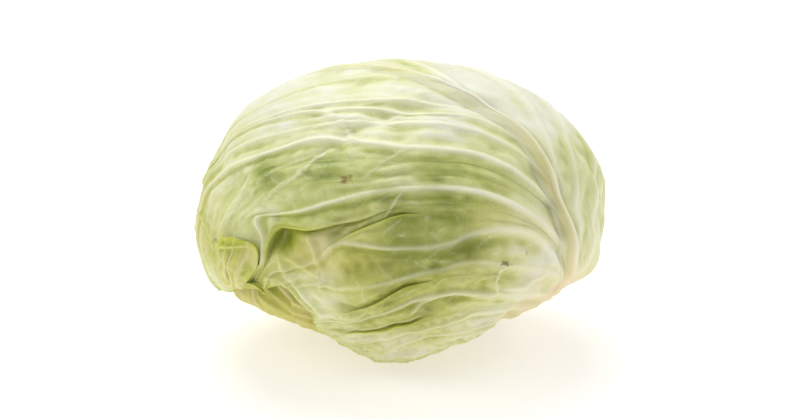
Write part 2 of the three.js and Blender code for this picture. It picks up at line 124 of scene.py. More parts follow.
def smooth_line(points: list[tuple[float, float]], samples: int = 24) -> Array:
    """Points along a Catmull-Rom curve through the given ones, at even steps of arc length.

    Args:
        points: what the curve runs through.
        samples: sub-steps between two of them.
    Returns:
        An array of LINE_POINTS by 2.
    """
    p = np.array(points, float)
    p = np.vstack([2 * p[0] - p[1], p, 2 * p[-1] - p[-2]])
    gaps = np.sqrt(np.linalg.norm(np.diff(p, axis=0), axis=1)) + 1e-9
    knots = np.concatenate([[0.0], np.cumsum(gaps)])

    def between(low: Array, high: Array, first: int, last: int, t: Array) -> Array:
        """The point at t on the straight line from low, at one knot, to high, at another."""
        return ((knots[last] - t) * low + (t - knots[first]) * high) / (knots[last] - knots[first])

    pieces = []
    for i in range(1, len(p) - 2):
        t = np.linspace(knots[i], knots[i + 1], samples, endpoint=False)[:, None]
        a = [between(p[j], p[j + 1], j, j + 1, t) for j in range(i - 1, i + 2)]
        b = [between(a[k], a[k + 1], i - 1 + k, i + 1 + k, t) for k in (0, 1)]
        pieces.append(between(b[0], b[1], i, i + 1, t))
    curve = np.vstack(pieces + [p[-2:-1]])
    run = np.concatenate([[0.0], np.cumsum(np.linalg.norm(np.diff(curve, axis=0), axis=1))])
    at = np.linspace(0.0, run[-1], LINE_POINTS)
    return np.stack([np.interp(at, run, curve[:, k]) for k in (0, 1)], axis=-1)


def read_line(line: Array, share: Array) -> Array:
    """Points of an evenly stepped line at the given shares of its length."""
    at = np.clip(share, 0.0, 1.0) * (len(line) - 1)
    low = np.minimum(at.astype(int), len(line) - 2)
    t = (at - low)[..., None]
    return line[low] * (1 - t) + line[low + 1] * t


# ---- The head's outer form and the sphere of growth ----------------------------------------------
@dataclass(frozen=True)
class OuterForm:
    """The even outer surface: an ellipsoid with swells round its leaning rim, pressed flat underneath."""

    half: tuple[float, float, float] = (90.0, 80.0, 64.5)  # mm along X, Y and Z
    rest_height: float = 66.0  # mm from the flat spot up to the middle
    # Round the rim: degrees from +X, width in degrees, and rise as a share of the radius.
    swells: tuple[tuple[float, float, float], ...] = (
        (0, 24, 0.06), (30, 22, 0.07), (60, 22, 0.06), (90, 22, 0.06), (120, 22, 0.07), (150, 22, 0.09),
        (180, 22, -0.01), (205, 20, 0.15), (232, 16, -0.21), (265, 20, 0.12), (292, 16, -0.07),
        (317, 11, -0.235), (338, 14, 0.07), (327, 6, 0.035), (206, 5, 0.024), (126, 7, -0.018),
        (104, 6, -0.014), (169, 6, -0.014), (182, 5, -0.01), (9, 5, 0.014), (151, 5, 0.012),
        (258, 6, -0.01))
    # Round the place it rests on: direction, width in degrees, and rise.
    rest_swells: tuple[tuple[tuple[float, float, float], float, float], ...] = (
        ((0, 0.36, -0.93), 14, 0.055), ((0.38, 0.08, -0.92), 12, 0.045), ((-0.38, 0.08, -0.92), 12, 0.055))

    def radius(self, d: Array) -> Array:
        """Radius in each direction d: the ellipsoid's, times one plus a bell curve for each swell.

        Args:
            d: unit vectors along the last axis.
        Returns:
            Millimetres.
        """
        up = np.array([0.0, np.sin(RIM_LEAN), np.cos(RIM_LEAN)])
        rim = [(np.array([np.cos(np.radians(at)), 0, 0]) + up * np.sin(np.radians(at)), width, rise)
               for at, width, rise in self.swells]
        rest = [(unit(np.array(toward)), width, rise) for toward, width, rise in self.rest_swells]
        swell = np.ones(d.shape[:-1])
        for toward, width, rise in rim + rest:
            angle = np.arccos(np.clip(d @ toward, -1, 1))
            swell += rise * np.exp(-((angle / np.radians(width)) ** 2) / 2)
        r = swell / np.sqrt(((d / np.array(self.half)) ** 2).sum(-1))
        floor = np.where(d[..., 2] < -0.1, self.rest_height / np.maximum(-d[..., 2], 0.1), 1e6)
        t = np.clip(0.5 + (floor - r) / 3.0, 0, 1)
        return np.where(floor > 1e5, r, mix(floor, r, t) - 1.5 * t * (1 - t))


@dataclass(frozen=True)
class GrowthSphere:
    """Directions by growth: latitude 0 at the stem, 180 at the leaf tips, longitude 0 where it shows."""

    stemward: tuple[float, float, float] = (0.814, 0.026, -0.581)
    tipward: tuple[float, float, float] = (-0.781, -0.619, -0.087)

    def __post_init__(self) -> None:
        """Works out the straight axis of growth, the bend and the zero meridian."""
        s, t = unit(np.array(self.stemward)), unit(np.array(self.tipward))
        axis, toward = unit(s - t), unit(s + t)
        face = np.array([0.0, -np.cos(RIM_LEAN), np.sin(RIM_LEAN)])
        zero = unit(face - (face @ axis) * axis)
        worked_out = {"axis": axis, "toward": toward, "bend": np.sqrt((s @ t + 1) / 2), "zero": zero,
                      "ninety": np.cross(axis, zero)}
        for name, value in worked_out.items():
            object.__setattr__(self, name, value)

    def direction(self, longitude: Array, latitude: Array) -> Array:
        """Unit vector on the sphere of growth for a longitude and latitude in degrees."""
        lon, lat = np.radians(longitude)[..., None], np.radians(latitude)[..., None]
        return np.cos(lat) * self.axis + np.sin(lat) * (np.cos(lon) * self.zero + np.sin(lon) * self.ninety)

    def to_head(self, g: Array) -> Array:
        """Draws directions towards the bend: both poles go to the underside, and small shapes stay true."""
        along = (g @ self.toward)[..., None]
        side = (g - along * self.toward) * np.sqrt(1 - self.bend ** 2)
        return (side + (along + self.bend) * self.toward) / (1 + self.bend * along)

    def coordinates(self, g: Array) -> tuple[Array, Array]:
        """Longitude and latitude in degrees of directions on the sphere of growth."""
        latitude = np.degrees(np.arccos(np.clip(g @ self.axis, -1, 1)))
        return np.degrees(np.arctan2(g @ self.ninety, g @ self.zero)), latitude


OUTER = OuterForm()
GROWTH = GrowthSphere()


class PileMap:
    """Height of the pile of leaves over the heart, on a grid of one degree of longitude and latitude."""

    ROWS, COLUMNS = 180, 360
    NARROWEST = 0.06  # length of the shortest row that is told apart, as a share of the equator

    def __init__(self, heights: Array | None = None) -> None:
        """Starts from the given heights, or bare."""
        self.heights = np.zeros((self.ROWS, self.COLUMNS)) if heights is None else heights

    def sample(self, g: Array) -> Array:
        """Heights read between the four nearest cells.

        Args:
            g: directions on the sphere of growth.
        Returns:
            Millimetres.
        """
        lon, lat = GROWTH.coordinates(g)
        row = lat - 0.5
        column = lon + 180 - 0.5
        r = np.floor(row).astype(int)
        c = np.floor(column).astype(int)
        tr = row - r
        tc = column - c
        low = mix(self._at(r, c), self._at(r, c + 1), tc)
        return mix(low, mix(self._at(r + 1, c), self._at(r + 1, c + 1), tc), tr)

    def _at(self, r: Array, c: Array) -> Array:
        """Cells by row and column. A row beyond a pole is the one before it, half way round."""
        over = (r < 0) | (r >= self.ROWS)
        r = np.where(r < 0, -1 - r, np.where(r >= self.ROWS, 2 * self.ROWS - 1 - r, r))
        return self.heights[r, (c + over * (self.COLUMNS // 2)) % self.COLUMNS]

    def raised(self, g: Array, height: Array) -> "PileMap":
        """A copy in which each cell is at least as high as the points that fall in it.

        Args:
            g: directions of the points.
            height: their heights in mm.
        Returns:
            The copy.
        """
        lon, lat = GROWTH.coordinates(g)
        r = np.clip(lat.astype(int), 0, self.ROWS - 1)
        c = np.floor(lon + 180).astype(int) % self.COLUMNS
        made = self.heights.copy()
        np.maximum.at(made, (r.ravel(), c.ravel()), height.ravel())
        return PileMap(made)

    def _passes(self, reach: float, highest: bool) -> "PileMap":
        """Takes the highest or the cosine-weighted mean along each row, then along each column.

        Args:
            reach: degrees on either side, as a length on the equator.
            highest: whether to take the highest.
        Returns:
            The new map.
        """
        made = np.empty_like(self.heights)
        for r in range(self.ROWS):
            shrunk = max(np.sin(np.radians(r + 0.5)), self.NARROWEST)
            span = int(min(round(reach / shrunk), self.COLUMNS // 2))
            shifted = np.stack([np.roll(self.heights[r], -k) for k in range(-span, span + 1)])
            made[r] = self._combine(shifted, span, highest)
        half = PileMap(made)
        span = int(round(reach))
        columns = np.arange(self.COLUMNS)[None, :]
        rows = np.arange(self.ROWS)[:, None]
        shifted = np.stack([half._at(rows + k, columns) for k in range(-span, span + 1)])
        return PileMap(self._combine(shifted, span, highest))

    @staticmethod
    def _combine(shifted: Array, span: int, highest: bool) -> Array:
        """The highest, or the cosine-weighted mean, along the first axis."""
        if highest:
            return shifted.max(0)
        weight = 1 + np.cos(np.pi * np.arange(-span, span + 1) / (span + 1))
        return np.tensordot(weight / weight.sum(), shifted, 1)

    def spread(self, reach: float) -> "PileMap":
        """Each cell takes the highest within reach, in degrees."""
        return self._passes(reach, True)

    def blurred(self, reach: float) -> "PileMap":
        """Each cell takes the weighted mean within reach, in degrees."""
        return self._passes(reach, False)

    def filled_to_stem(self, latitude: int) -> "PileMap":
        """The bare patch round the stem takes the heights of the row at this latitude."""
        made = self.heights.copy()
        made[:latitude] = made[latitude]
        return PileMap(made)


# ---- Meshes --------------------------------------------------------------------------------------
def add_object(name: str, points: Array, faces: list[list[int]], node: str | None,
               attributes: dict[str, Array] | None = None, uv: Array | None = None) -> bpy.types.Object:
    """Makes a smooth mesh object that rides on the head.

    Args:
        name: the piece's name.
        points: vertices from the middle of the head, in mm.
        faces: vertex indices, counter-clockwise from outside.
        node: the solid that the piece stands for, if it stands for one.
        attributes: four-channel values for each vertex, by name.
        uv: two numbers for each vertex.
    Returns:
        The object, at the origin.
    """
    mesh = bpy.data.meshes.new(name)
    mesh.from_pydata(((points + MIDDLE) * MM).tolist(), [], faces)
    mesh.polygons.foreach_set("use_smooth", np.ones(len(mesh.polygons), bool))
    for key, values in (attributes or {}).items():
        layer = mesh.attributes.new(key, "FLOAT_COLOR", "POINT")
        layer.data.foreach_set("color", np.ascontiguousarray(values, np.float32).ravel())
    if uv is not None:
        corner = np.empty(len(mesh.loops), np.int32)
        mesh.loops.foreach_get("vertex_index", corner)
        layer = mesh.uv_layers.new(name="drawing")
        layer.data.foreach_set("uv", np.ascontiguousarray(uv[corner], np.float32).ravel())
    mesh.update()
    piece = bpy.data.objects.new(name, mesh)
    bpy.context.scene.collection.objects.link(piece)
    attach(piece, "root")
    if node:
        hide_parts(node)
    return piece


def closed_sheet(upper: Array, lower: Array, rows: Array, columns: Array) -> tuple[Array, list[list[int]]]:
    """A closed body from a fine upper face and a coarse lower one, joined round their edge.

    Args:
        upper: grid of points, rows by columns by 3.
        lower: grid of points at the kept rows and columns.
        rows, columns: indices of the upper grid that the lower one keeps, ends included.
    Returns:
        Vertices and faces.
    """
    count_r, count_c = upper.shape[:2]
    top = np.arange(count_r * count_c).reshape(count_r, count_c)
    under = count_r * count_c + np.arange(len(rows) * len(columns)).reshape(len(rows), len(columns))
    above = np.stack([top[:-1, :-1], top[1:, :-1], top[1:, 1:], top[:-1, 1:]], -1)
    below = np.stack([under[:-1, :-1], under[:-1, 1:], under[1:, 1:], under[1:, :-1]], -1)
    faces = np.vstack([above.reshape(-1, 4), below.reshape(-1, 4)]).tolist()
    for k in range(len(columns) - 1):
        a, b = columns[k], columns[k + 1]
        faces.append([*top[0, a:b + 1].tolist(), int(under[0, k + 1]), int(under[0, k])])
        faces.append([*top[-1, a:b + 1][::-1].tolist(), int(under[-1, k]), int(under[-1, k + 1])])
    for k in range(len(rows) - 1):
        a, b = rows[k], rows[k + 1]
        faces.append([*top[a:b + 1, 0][::-1].tolist(), int(under[k, 0]), int(under[k + 1, 0])])
        faces.append([*top[a:b + 1, -1].tolist(), int(under[k + 1, -1]), int(under[k, -1])])
    return np.vstack([upper.reshape(-1, 3), lower.reshape(-1, 3)]), faces


# ---- Leaves --------------------------------------------------------------------------------------
@dataclass(frozen=True)
class DrawingFrame:
    """How a drawing is wrapped round the sphere of growth: where its middle lies and how it is turned."""

    longitude: float
    latitude: float = 90.0
    turn: float = 0.0  # degrees
    scale: float = 80.0  # mm of the drawing that wrap about one radian

    def _axes(self) -> tuple[Array, Array, Array]:
        """The drawing's middle, its X and its Y as directions on the sphere of growth."""
        centre = GROWTH.direction(np.array(self.longitude), np.array(self.latitude))
        up = unit(-GROWTH.axis + (GROWTH.axis @ centre) * centre)
        turn = np.radians(self.turn)
        along = np.cos(turn) * up + np.sin(turn) * np.cross(up, centre)
        return centre, np.cross(along, centre), along

    def wrap(self, xy: Array) -> Array:
        """Stereographic wrap: with q = (x*x + y*y)/4 it is (centre*(1 - q) + across*x + along*y)/(1 + q)."""
        centre, across, along = self._axes()
        x, y = xy[..., 0:1] / self.scale, xy[..., 1:2] / self.scale
        quarter = (x * x + y * y) / 4
        return (centre * (1 - quarter) + across * x + along * y) / (1 + quarter)

    def unwrap(self, g: Array) -> tuple[Array, Array]:
        """X and Y in the drawing of directions on the sphere of growth."""
        centre, across, along = self._axes()
        spread = 2 * self.scale / (1 + np.maximum(g @ centre, -0.9))
        return (g @ across) * spread, (g @ along) * spread


FRONT = DrawingFrame(-35, 92)  # the front leaf's drawing: marks and folds of every leaf are given in it


class Tint(Enum):
    """What a mark paints. Olive marks are painted shade; some green, young and lime marks sit on shaded
    spots and are painted shade there; blanch marks are partly painted light.
    """

    LIME = "lime"
    BLANCH = "blanch_and_painted_light"
    OLIVE = "shade_olive"
    GREEN = "green"
    YOUNG = "yellow_and_painted_shade"
    PLAIN = "plain"  # takes the pale of the veins away


class Side(Enum):
    """Which side of a crease stands over the other, seen with the foot down."""

    LEFT = 1
    RIGHT = -1


@dataclass(frozen=True)
class Crease:
    """A fold along a rib: one side stands over the other and hangs over it a little."""

    start: float  # shares of the rib's length
    end: float
    rise: float  # mm
    overhang: float  # mm
    raised: Side = Side.LEFT
    run_in: float = 0.15  # shares over which it comes in and goes out
    run_out: float = 0.12

    def strength(self, u: Array) -> Array:
        """How much of the fold there is at each share of the rib's length."""
        return ease((u - self.start) / self.run_in) * ease((self.end - u) / self.run_out)


@dataclass(frozen=True)
class Rib:
    """A line of the drawing from the foot to the edge. It leaves the midrib where `leaves` says.

    Then it runs through its own points. Swell is its height against a usual side rib, and 0 draws no vein
    and only steers the mesh.
    """

    leaves: float
    through: tuple[tuple[float, float], ...] = ()
    midrib: bool = False
    swell: float = 1.0
    crease: Crease | None = None


@dataclass(frozen=True)
class Mark:
    """A round feature: its middle, reach in mm and amount."""

    at: tuple[float, float]
    reach: float
    amount: float

    def over(self, x: Array, y: Array) -> Array:
        """Amount at each place, falling off as a bell curve."""
        return self.amount * bell(np.hypot(x - self.at[0], y - self.at[1]), self.reach)


def marks(*rows: tuple[float, float, float, float]) -> tuple[Mark, ...]:
    """Marks from rows of x, y, reach and amount."""
    return tuple(Mark((x, y), reach, amount) for x, y, reach, amount in rows)


def total(several: tuple[Mark, ...], x: Array, y: Array) -> Array:
    """What the marks add up to at each place."""
    return np.zeros(x.shape) + sum(mark.over(x, y) for mark in several)


@dataclass(frozen=True)
class Fold:
    """A ridge along a path, with its half width and height in mm and how pale its top is."""

    path: tuple[tuple[float, float], ...]
    half_width: float
    height: float
    pale: float = 0.5

    def over(self, x: Array, y: Array) -> tuple[Array, Array]:
        """Height and paleness at each place, easing in and out at the path's ends."""
        d, along = distance_to_path(x, y, list(self.path))
        ends = ease(along / 0.15) * ease((1 - along) / 0.15)
        line = bell(d, max(self.half_width * 0.5, 0.6))
        return self.height * bell(d, self.half_width) * ends, self.pale * line * ends


def mirrored(rib: Rib) -> Rib:
    """The same rib on the other side of the midrib."""
    return Rib(rib.leaves, tuple((-x, y) for x, y in rib.through), rib.midrib, rib.swell, rib.crease)


COMMON_MIDRIB = ((0, -122), (0, -60), (0, 20), (0, 118))
COMMON_RIGHT = (
    Rib(0.0, ((30, -119), (58, -113), (80, -96)), swell=0.6),
    Rib(0.03, ((38, -94), (74, -74), (104, -44))),
    Rib(0.14, ((36, -58), (76, -30), (110, 6))),
    Rib(0.3, ((22, -26), (60, 12), (98, 54))),
    Rib(0.5, ((14, 10), (40, 54), (64, 96))),
)
COMMON_LEFT = tuple(mirrored(rib) for rib in reversed(COMMON_RIGHT))
COMMON_RIBS = (*COMMON_RIGHT, Rib(1.0, midrib=True), *COMMON_LEFT)
SLIM_RIGHT = (
    *COMMON_RIGHT[:2],
    Rib(0.14, ((34, -60), (70, -34), (98, -4))),
    Rib(0.3, ((20, -26), (48, 4), (68, 38))),
    Rib(0.5, ((10, 10), (22, 46), (26, 76))),
)
SLIM_RIBS = (*SLIM_RIGHT, Rib(1.0, midrib=True), *COMMON_LEFT)


class Use(Enum):
    """What a leaf's noise is for. The value is added to the leaf's seed."""

    PILLOW = 0
    STREAK = 2
    BROAD = 3
    FINE_STREAK = 4
    RAGGED = 5
    EDGE_WAVE = 7
    SMALL_PILLOW = 8
    RIB = 9
    CROSS = 11
    CROSS_GAP = 12
    PATCH = 20
    SCAR = 31


@dataclass(frozen=True)
class Places:
    """Where the vertices of a leaf's upper face lie. Each field is a grid of rows by columns."""

    u: Array  # share of the way from the foot to the edge
    v: Array  # number of ribs from the right
    x: Array  # mm in the leaf's own drawing
    y: Array
    front_x: Array  # mm in the front drawing
    front_y: Array
    step: Array  # mm between the two ribs on either side
    length: Array  # mm of the rib
    to_side: Array  # mm to the nearer side margin
    off_mid: Array  # mm from the midrib, less than 0 on its right
    mid_half: Array  # mm of half the midrib's width

    @property
    def run(self) -> Array:
        """Mm from the foot."""
        return self.u * self.length

    @property
    def to_edge(self) -> Array:
        """Mm to the far edge."""
        return (1 - self.u) * self.length

    @property
    def from_mid(self) -> Array:
        """Mm from the midrib on either side."""
        return np.abs(self.off_mid)


@dataclass(frozen=True)
class Relief:
    """What stands out of a blade: the height in mm, and from 0 to 1 the parts that are painted too."""

    height: Array
    groove: Array  # beside the midrib; also painted shade there, in olive and yellow
    shaded_flank: Array  # the midrib's left flank: painted shade, in yellow and a little olive
    ribs: Array
    furrow: Array  # beside the ribs; also painted shade there, as darker green
    cross: Array  # cross veins
    crests: Array  # tops of folds
    pillow: Array  # swell between two ribs
    between: Array
    streaks: Array


@dataclass
class Leaf:
    """One leaf: its drawing, its place on the head and the relief of its upper face."""

    name: str
    place: DrawingFrame
    slot: str = "wrapper_leaf"
    node: bool = True  # whether it is a node of the solids too
    wide: float = 1.0  # the drawing made wider
    long: float = 1.0  # and longer from the foot
    midrib: tuple[tuple[float, float], ...] = COMMON_MIDRIB
    ribs: tuple[Rib, ...] = COMMON_RIBS
    rows: int = 120
    per_interval: int = 15  # columns between two ribs
    room: float = 0.0  # mm off the pile in the leaf's middle
    room_marks: tuple[Mark, ...] = ()
    hollows: tuple[Mark, ...] = ()
    folds: tuple[Fold, ...] = ()
    paint: dict[Tint, tuple[Mark, ...]] = field(default_factory=dict)
    scars: tuple[Mark, ...] = ()
    edge_wave: float = 0.9
    edge_curl: float = 0.5
    edge_ragged: float = 0.015  # share of the length
    seed: int = 1
    blade: float = 0.9  # mm thick
    gap: float = 0.6  # mm clear of the pile
    foot_half: float = 21.0
    stalk_half: float = 7.0
    midrib_rise: float = 3.0
    midrib_half: float = 5.0
    rib_rise: float = 1.5
    pucker: float = 0.8
    vein_show: float = 1.0  # how pale the veins are
    yellow: float = 0.0
    lines: list[Array] = field(default_factory=list)

    FOLD_STEPS = 15  # columns of a crease
    FOLD_WIDTH = 0.1  # of a rib interval, taken up by the columns of a crease
    SPACING = 20.0  # usual mm between two ribs, for patterns that run across them
    ROW_POWER = 0.92  # rows are a little closer towards the edge
    MIDRIB_TAPER = 0.68  # share of its width that the midrib loses on the way
    FLOOR_GAP = 1.2  # mm that the upper face keeps over the plane of the flat spot
    FLOOR_BLADE = 0.8  # mm more that the lower face keeps
    EDGE_REACH = 30.0  # mm that the waves of the far edge reach in
    SIDE_REACH = 16.0  # and those of the side margins
    CURL_REACH = 7.0
    LONG_RIB = 120.0  # mm: shorter ribs aren't blanched at their foot
    CROSS_SPACING = 15.0  # mm between cross veins
    CROSS_SLANT = 26.0  # mm that they would climb over a whole interval
    CROSS_STAGGER = (7.0, 9.0)  # mm between the two halves of an interval, and between intervals
    # The lip of a crease in section, from its low side round the nose to the top: (across, up) as shares.
    LIP = ((0.0, 0.0), (-0.35, -0.02), (-0.75, 0.06), (-0.85, 0.3), (-0.4, 0.45), (0.3, 0.52), (0.85, 0.6),
           (1.0, 0.78), (0.8, 0.94), (0.3, 1.0), (-0.3, 1.0))
    DIP = 0.45  # how deep the low side dips, as a share of the rise

    def __post_init__(self) -> None:
        """Draws the ribs and lays out the columns of the mesh."""
        foot = self.midrib[0][1]
        self.middle = next(i for i, rib in enumerate(self.ribs) if rib.midrib)
        self.intervals = len(self.ribs) - 1

        def scaled(points: tuple[tuple[float, float], ...]) -> list[tuple[float, float]]:
            """Points made wider and longer from the foot."""
            return [(x * self.wide, foot + (y - foot) * self.long) for x, y in points]

        stalk = smooth_line(scaled(self.midrib))
        self.lines = [self._rib_line(stalk, i, rib, scaled(rib.through)) for i, rib in enumerate(self.ribs)]
        self.lengths = np.array([np.linalg.norm(np.diff(line, axis=0), axis=1).sum() for line in self.lines])
        self._lay_columns()

    def _noise(self, x: Array, y: Array, length: float, use: Use) -> Array:
        """Ripples of this leaf's own, other ones for each use."""
        return ripples(x, y, length, self.seed + use.value)

    def _rib_line(self, stalk: Array, i: int, rib: Rib, own: list[tuple[float, float]]) -> Array:
        """One rib: beside the midrib until it leaves it, then through its own points.

        Args:
            stalk: the midrib's points.
            i: the rib's number from the right.
            rib: what it is.
            own: its points after it has left, scaled.
        Returns:
            An array of LINE_POINTS by 2.
        """
        beside_count = self.middle if i < self.middle else self.intervals - self.middle
        side = (self.middle - i) / beside_count
        u = np.linspace(0.0, 1.0, LINE_POINTS)
        tangent = unit(np.gradient(stalk, axis=0))
        offset = side * mix(self.stalk_half * (1 - 0.6 * u), self.foot_half, np.exp(-u / 0.05))
        beside = stalk + np.stack([tangent[:, 1] * offset, -tangent[:, 0] * offset], -1)
        if rib.midrib:
            return beside
        leave = rib.leaves
        if leave <= 0.02:
            return smooth_line([tuple(beside[0])] + own)
        before, start = (read_line(beside, np.array(at)) for at in (leave - 0.03, leave))
        away = smooth_line([tuple(before), tuple(start)] + own)
        first = np.argmin(np.linalg.norm(away - start, axis=1)) / (LINE_POINTS - 1)
        after = read_line(away, first + (1 - first) * (u - leave) / (1 - leave))
        return np.where((u < leave)[:, None], beside, after)

    def _lay_columns(self) -> None:
        """Even columns between ribs, closer near them, and a narrow band of them where a crease folds."""
        v, fold, share = [], [], []
        even = np.arange(1, self.per_interval) / self.per_interval
        even = even - 0.07 * np.sin(2 * np.pi * even)
        creased = [rib.crease is not None for rib in self.ribs]
        half = self.FOLD_WIDTH / 2
        for i in range(self.intervals):
            if creased[i]:
                v += (i + np.linspace(-half, half, self.FOLD_STEPS)).tolist()
                fold += [i] * self.FOLD_STEPS
                share += np.linspace(0, 1, self.FOLD_STEPS).tolist()
            else:
                v.append(i)
                fold.append(-1)
                share.append(0.0)
            low, high = half * creased[i], half * creased[i + 1]
            v += (i + low + (1 - low - high) * even).tolist()
            fold += [-1] * len(even)
            share += [0.0] * len(even)
        self.v = np.array(v + [self.intervals], float)
        self.fold = np.array(fold + [-1])
        self.share = np.array(share + [0.0])

    def flat(self, u: Array, v: Array) -> Array:
        """Place in the drawing. Across the ribs it is part straight and part Catmull-Rom.

        Args:
            u: share of each rib's length, from the foot.
            v: number of ribs from the right, with fractions between them.
        Returns:
            X and Y along a last axis.
        """
        stack = np.stack(self.lines)
        i = np.clip(np.floor(v).astype(int), 0, self.intervals - 1)
        t = (v - i)[..., None]

        def at(k: Array) -> Array:
            """Points at the share u of rib k.

            Args:
                k: rib numbers.
            Returns:
                X and Y along a last axis.
            """
            row = np.clip(u, 0, 1) * (LINE_POINTS - 1)
            low = np.minimum(row.astype(int), LINE_POINTS - 2)
            w = (row - low)[..., None]
            line = np.clip(k, 0, self.intervals)
            return stack[line, low] * (1 - w) + stack[line, low + 1] * w

        p, q, r, s = at(i - 1), at(i), at(i + 1), at(i + 2)
        curved = q + 0.5 * t * (r - p + t * (2 * p - 5 * q + 4 * r - s + t * (3 * (q - r) + s - p)))
        return mix(mix(q, r, t), curved, 0.6)

    def _creases(self, u: Array) -> tuple[Array, Array, Array, Array]:
        """The creases: shift of the columns that fold over, height, give of the lower face, and lip.

        Beside the lip the raised side falls away towards the next rib, and the low side dips to the fold.

        Args:
            u: rows by columns of rib shares.
        Returns:
            Shift in the drawing (rows, columns, 2), then height, give and lip (rows, columns).
        """
        shift = np.zeros(u.shape + (2,))
        height, give, lip = (np.zeros(u.shape) for _ in range(3))
        smooth = smooth_line(list(self.LIP))
        for i, rib in enumerate(self.ribs):
            if rib.crease is None:
                continue
            crease, way, here = rib.crease, rib.crease.raised.value, self.fold == i
            amount = crease.strength(u)
            t = (self.v[None, :] - i) * way
            low = -self.DIP * np.maximum(0, 1 + t) ** 2
            high = np.maximum(0, 1 - t / 1.2) ** 1.5
            height += np.where(here, 0, crease.rise * amount * np.where(t <= 0, low, high))
            s = self.share[here] if way > 0 else 1 - self.share[here]
            across, rise = read_line(smooth, s).T
            row = u[:, :1]
            on_right = self.flat(row, np.full_like(row, i - 0.15))
            on_left = self.flat(row, np.full_like(row, i + 0.15))
            hang = way * crease.overhang * crease.strength(row) * across[None, :]
            shift[:, here] += unit(on_right - on_left) * hang[..., None]
            height[:, here] += crease.rise * amount[:, here] * mix(-self.DIP, 1.0, rise[None, :])
            give += 0.5 * crease.rise * amount * np.maximum(0, 1 - np.abs(t)) ** 2
            lip[:, here] = np.maximum(lip[:, here], bell(s - 0.68, 0.16)[None, :] * amount[:, here])
        return shift, height, give, lip

    def _side_ribs(self, u: Array, v: Array, step: Array) -> tuple[Array, Array, Array]:
        """The side ribs: a narrow crest on a broad shoulder, lower towards the edge, a furrow on its left.

        Args:
            u, v: rib shares and numbers.
            step: mm between the two ribs at each place.
        Returns:
            Height in mm, then paleness and furrow from 0 to 1.
        """
        swells = np.array([0.0 if rib.midrib else rib.swell for rib in self.ribs])
        i = np.clip(np.floor(v).astype(int), 0, self.intervals - 1)
        height = np.zeros_like(u)
        pale = np.zeros_like(u)
        half = 1.35 + 1.55 * (1 - u)
        uneven = np.clip(self._noise(v * 4.0, u * 110.0, 34.0, Use.RIB), -1.2, 1.2)
        for rib, off in ((i, (v - i) * step), (i + 1, (i + 1 - v) * step)):
            strength = swells[rib] * ease((u + 0.04) / 0.3)
            tall = self.rib_rise * (1 - 0.55 * u) * strength * (1 + 0.22 * uneven)
            height = np.maximum(height, tall * (bell(off, half) + 0.45 * bell(off, half * 3.0)))
            shows = self.vein_show * np.clip(swells[rib] * ease(u / 0.1), 0, 1.25) * (0.78 - 0.3 * u)
            pale = np.maximum(pale, shows * (1 + 0.25 * uneven) * bell(off, half * 0.8))
        room = ease(u / 0.2) * ease((step - 6.0) / 6.0)
        furrow = np.clip(swells[i], 0, 1.3) * bell((v - i) * step - 2.6 * half, 1.1 * half) * room
        return height - 0.25 * furrow, pale, furrow

    def _cross_veins(self, v: Array, run: Array) -> Array:
        """Raised lines that leave each rib outwards at a slant and meet half way to the next.

        A line is where (run - slant * distance to the nearer rib) is a whole number of spacings, shaken by
        noise.

        Args:
            v: rib numbers.
            run: mm along the rib.
        Returns:
            0 between the lines to 1 on them.
        """
        t = v - np.floor(v)
        middle = 0.5 - np.abs(t - 0.5)
        shake = self._noise(v * 14.0, run, 30.0, Use.CROSS) * 2.4
        halves, intervals = self.CROSS_STAGGER
        lag = self.CROSS_SLANT * middle
        number = (run - lag + halves * (t > 0.5) + shake + intervals * np.floor(v)) / self.CROSS_SPACING
        off = np.abs(number - np.round(number)) * self.CROSS_SPACING
        lasting = ease(0.6 + 0.8 * self._noise(v * 9.0, run, 22.0, Use.CROSS_GAP))
        return bell(off, 1.3) * ease(middle / 0.06) * lasting

    def _places(self, u: Array, v: Array, plain: Array) -> Places:
        """Measures where the vertices lie, before any crease shifts them.

        Args:
            u, v: grids of even shares and of rib numbers.
            plain: their places in the drawing.
        Returns:
            The grids of measures.
        """
        left = np.minimum(np.floor(v), self.intervals - 1)
        step = np.linalg.norm(self.flat(self.u, left + 1) - self.flat(self.u, left), axis=-1)
        to_mid = np.linalg.norm(plain - self.flat(self.u, np.full_like(v, self.middle)), axis=-1)
        front_x, front_y = FRONT.unwrap(self.place.wrap(plain))
        return Places(u=u, v=v, x=plain[..., 0], y=plain[..., 1], front_x=front_x, front_y=front_y,
                      step=step, length=np.interp(v, np.arange(self.intervals + 1), self.lengths),
                      to_side=np.minimum(v, self.intervals - v) * step,
                      off_mid=to_mid * np.where(v > self.middle, 1.0, -1.0),
                      mid_half=self.midrib_half * (1 - self.MIDRIB_TAPER * u))

